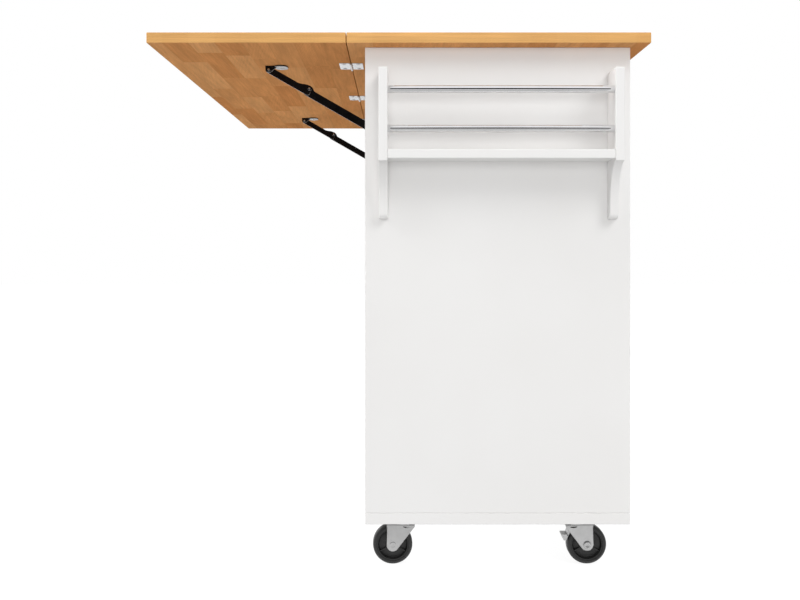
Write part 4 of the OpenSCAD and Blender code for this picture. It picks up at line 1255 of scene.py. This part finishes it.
def door_hinge(axis_x, axis_y, front_y, z, outward, moving):
    """Half of a small butt hinge in the gap beside a door: plate and knuckles."""
    step = DOOR_HINGE_L / 3
    side = outward if moving else -outward
    plate_x = axis_x + 0.001 - DOOR_HINGE_T if side > 0 else axis_x - 0.001
    base = z - DOOR_HINGE_L / 2
    parts = [slab((plate_x, front_y, base),
                  (plate_x + DOOR_HINGE_T, front_y + DOOR_HINGE_W, base + DOOR_HINGE_L))]
    for k in ((1,) if moving else (0, 2)):
        low = base + k * step + (KNUCKLE_GAP / 2 if k else 0)
        high = base + (k + 1) * step - (KNUCKLE_GAP / 2 if k < 2 else 0)
        parts.append(slab((plate_x, axis_y, low), (plate_x + DOOR_HINGE_T, front_y, high)))
        parts.append(knuckle(DOOR_BARREL_R, low, high, spot(axis_x, axis_y, 0)))
    return parts


def doors():
    """Four framed doors with their knobs and butt hinges."""
    fixed = []
    for number in (1, 2, 3, 4):
        body = f"door_{number}"
        low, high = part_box(body)
        piece(f"Door_{number}_boards", framed_front(low, high), WHITE, body, [body],
              soften=FRONT_EASE, rounds=3)
        knob(f"Door_{number}_pull", f"door_{number}_knob", body)
        axis = Vector(JOINTS[f"door_{number}_swing"]["pos_m"])
        outward = 1 if axis.x < low.x else -1
        moving = []
        for z in (low.z + DOOR_HINGE_INSET, high.z - DOOR_HINGE_INSET):
            moving += door_hinge(axis.x, axis.y, low.y, z, outward, True)
            fixed += door_hinge(axis.x, axis.y, low.y, z, outward, False)
            tip = DOOR_HINGE_L / 2
            pin = [
                (0, -tip - 0.0010), (0.0009, -tip - 0.0008), (0.0012, -tip), (0.0010, -tip),
                (0.0010, tip), (0.0012, tip), (0.0009, tip + 0.0008), (0, tip + 0.0010),
            ]
            fixed.append(turned(pin, spot(axis.x, axis.y, z), 20))
        piece(f"Door_{number}_hinge_moving", moving, NICKEL, body,
              [f"door_{number}_hinge_leaves"], soften=0.0002)
    piece("Door_hinges_fixed", fixed, NICKEL, "cabinet", ["door_hinge_plates"], soften=0.0002)


def channel(low, high, open_side):
    """A folded channel of thin sheet, open to one side along X."""
    t = RUNNER_T
    web_x = low.x if open_side > 0 else high.x - t
    return [
        slab((web_x, low.y, low.z), (web_x + t, high.y, high.z)),
        slab((low.x, low.y, low.z), (high.x, high.y, low.z + t)),
        slab((low.x, low.y, high.z - t), (high.x, high.y, high.z)),
    ]


def drawers():
    """Two drawers: framed front, knob, box and side runners."""
    rails = []
    rail_boxes = solid_boxes("drawer_runner_rails")
    for number in (1, 2):
        body = f"drawer_{number}"
        low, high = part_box(f"drawer_{number}_front")
        piece(f"Drawer_{number}_face", framed_front(low, high), WHITE, body,
              [f"drawer_{number}_front"], soften=FRONT_EASE, rounds=3)
        knob(f"Drawer_{number}_pull", f"drawer_{number}_knob", body)
        low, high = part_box(f"drawer_{number}_box")
        t = DRAWER_SIDE_T
        box = [
            slab(low, (low.x + t, high.y, high.z)),
            slab((high.x - t, low.y, low.z), high),
            slab((low.x + t, low.y, low.z), (high.x - t, low.y + t, high.z)),
            slab((low.x + t, high.y - t, low.z), (high.x - t, high.y, high.z)),
            slab((low.x + t, low.y + t, low.z),
                 (high.x - t, high.y - t, low.z + DRAWER_BOTTOM_T)),
        ]
        piece(f"Drawer_{number}_case", box, WHITE, body, [f"drawer_{number}_box"],
              soften=FRONT_EASE)
        moving = []
        middle_x = (low.x + high.x) / 2
        for part_low, part_high in solid_boxes(f"drawer_{number}_runners"):
            moving += channel(part_low, part_high, -1 if part_low.x < middle_x else 1)
        piece(f"Drawer_{number}_slides", moving, STEEL, body, [f"drawer_{number}_runners"],
              soften=0.0003)
        for part_low, part_high in rail_boxes[2 * number - 2:2 * number]:
            rails += channel(part_low, part_high, 1 if part_low.x < middle_x else -1)
    piece("Slide_rails", rails, STEEL, "cabinet", ["drawer_runner_rails"], soften=0.0003)


camera()
studio_light()
floor()
reflection_cards()

boards()
shelf_pins()
spice_rack()
leaf_hinges()
stays()
casters()
for body, parts in SCREWS.items():
    piece(f"Screws_{body}", parts, STEEL, body, [f"{body}_screws"])
doors()
drawers()

bpy.context.scene.view_settings.view_transform = "Standard"
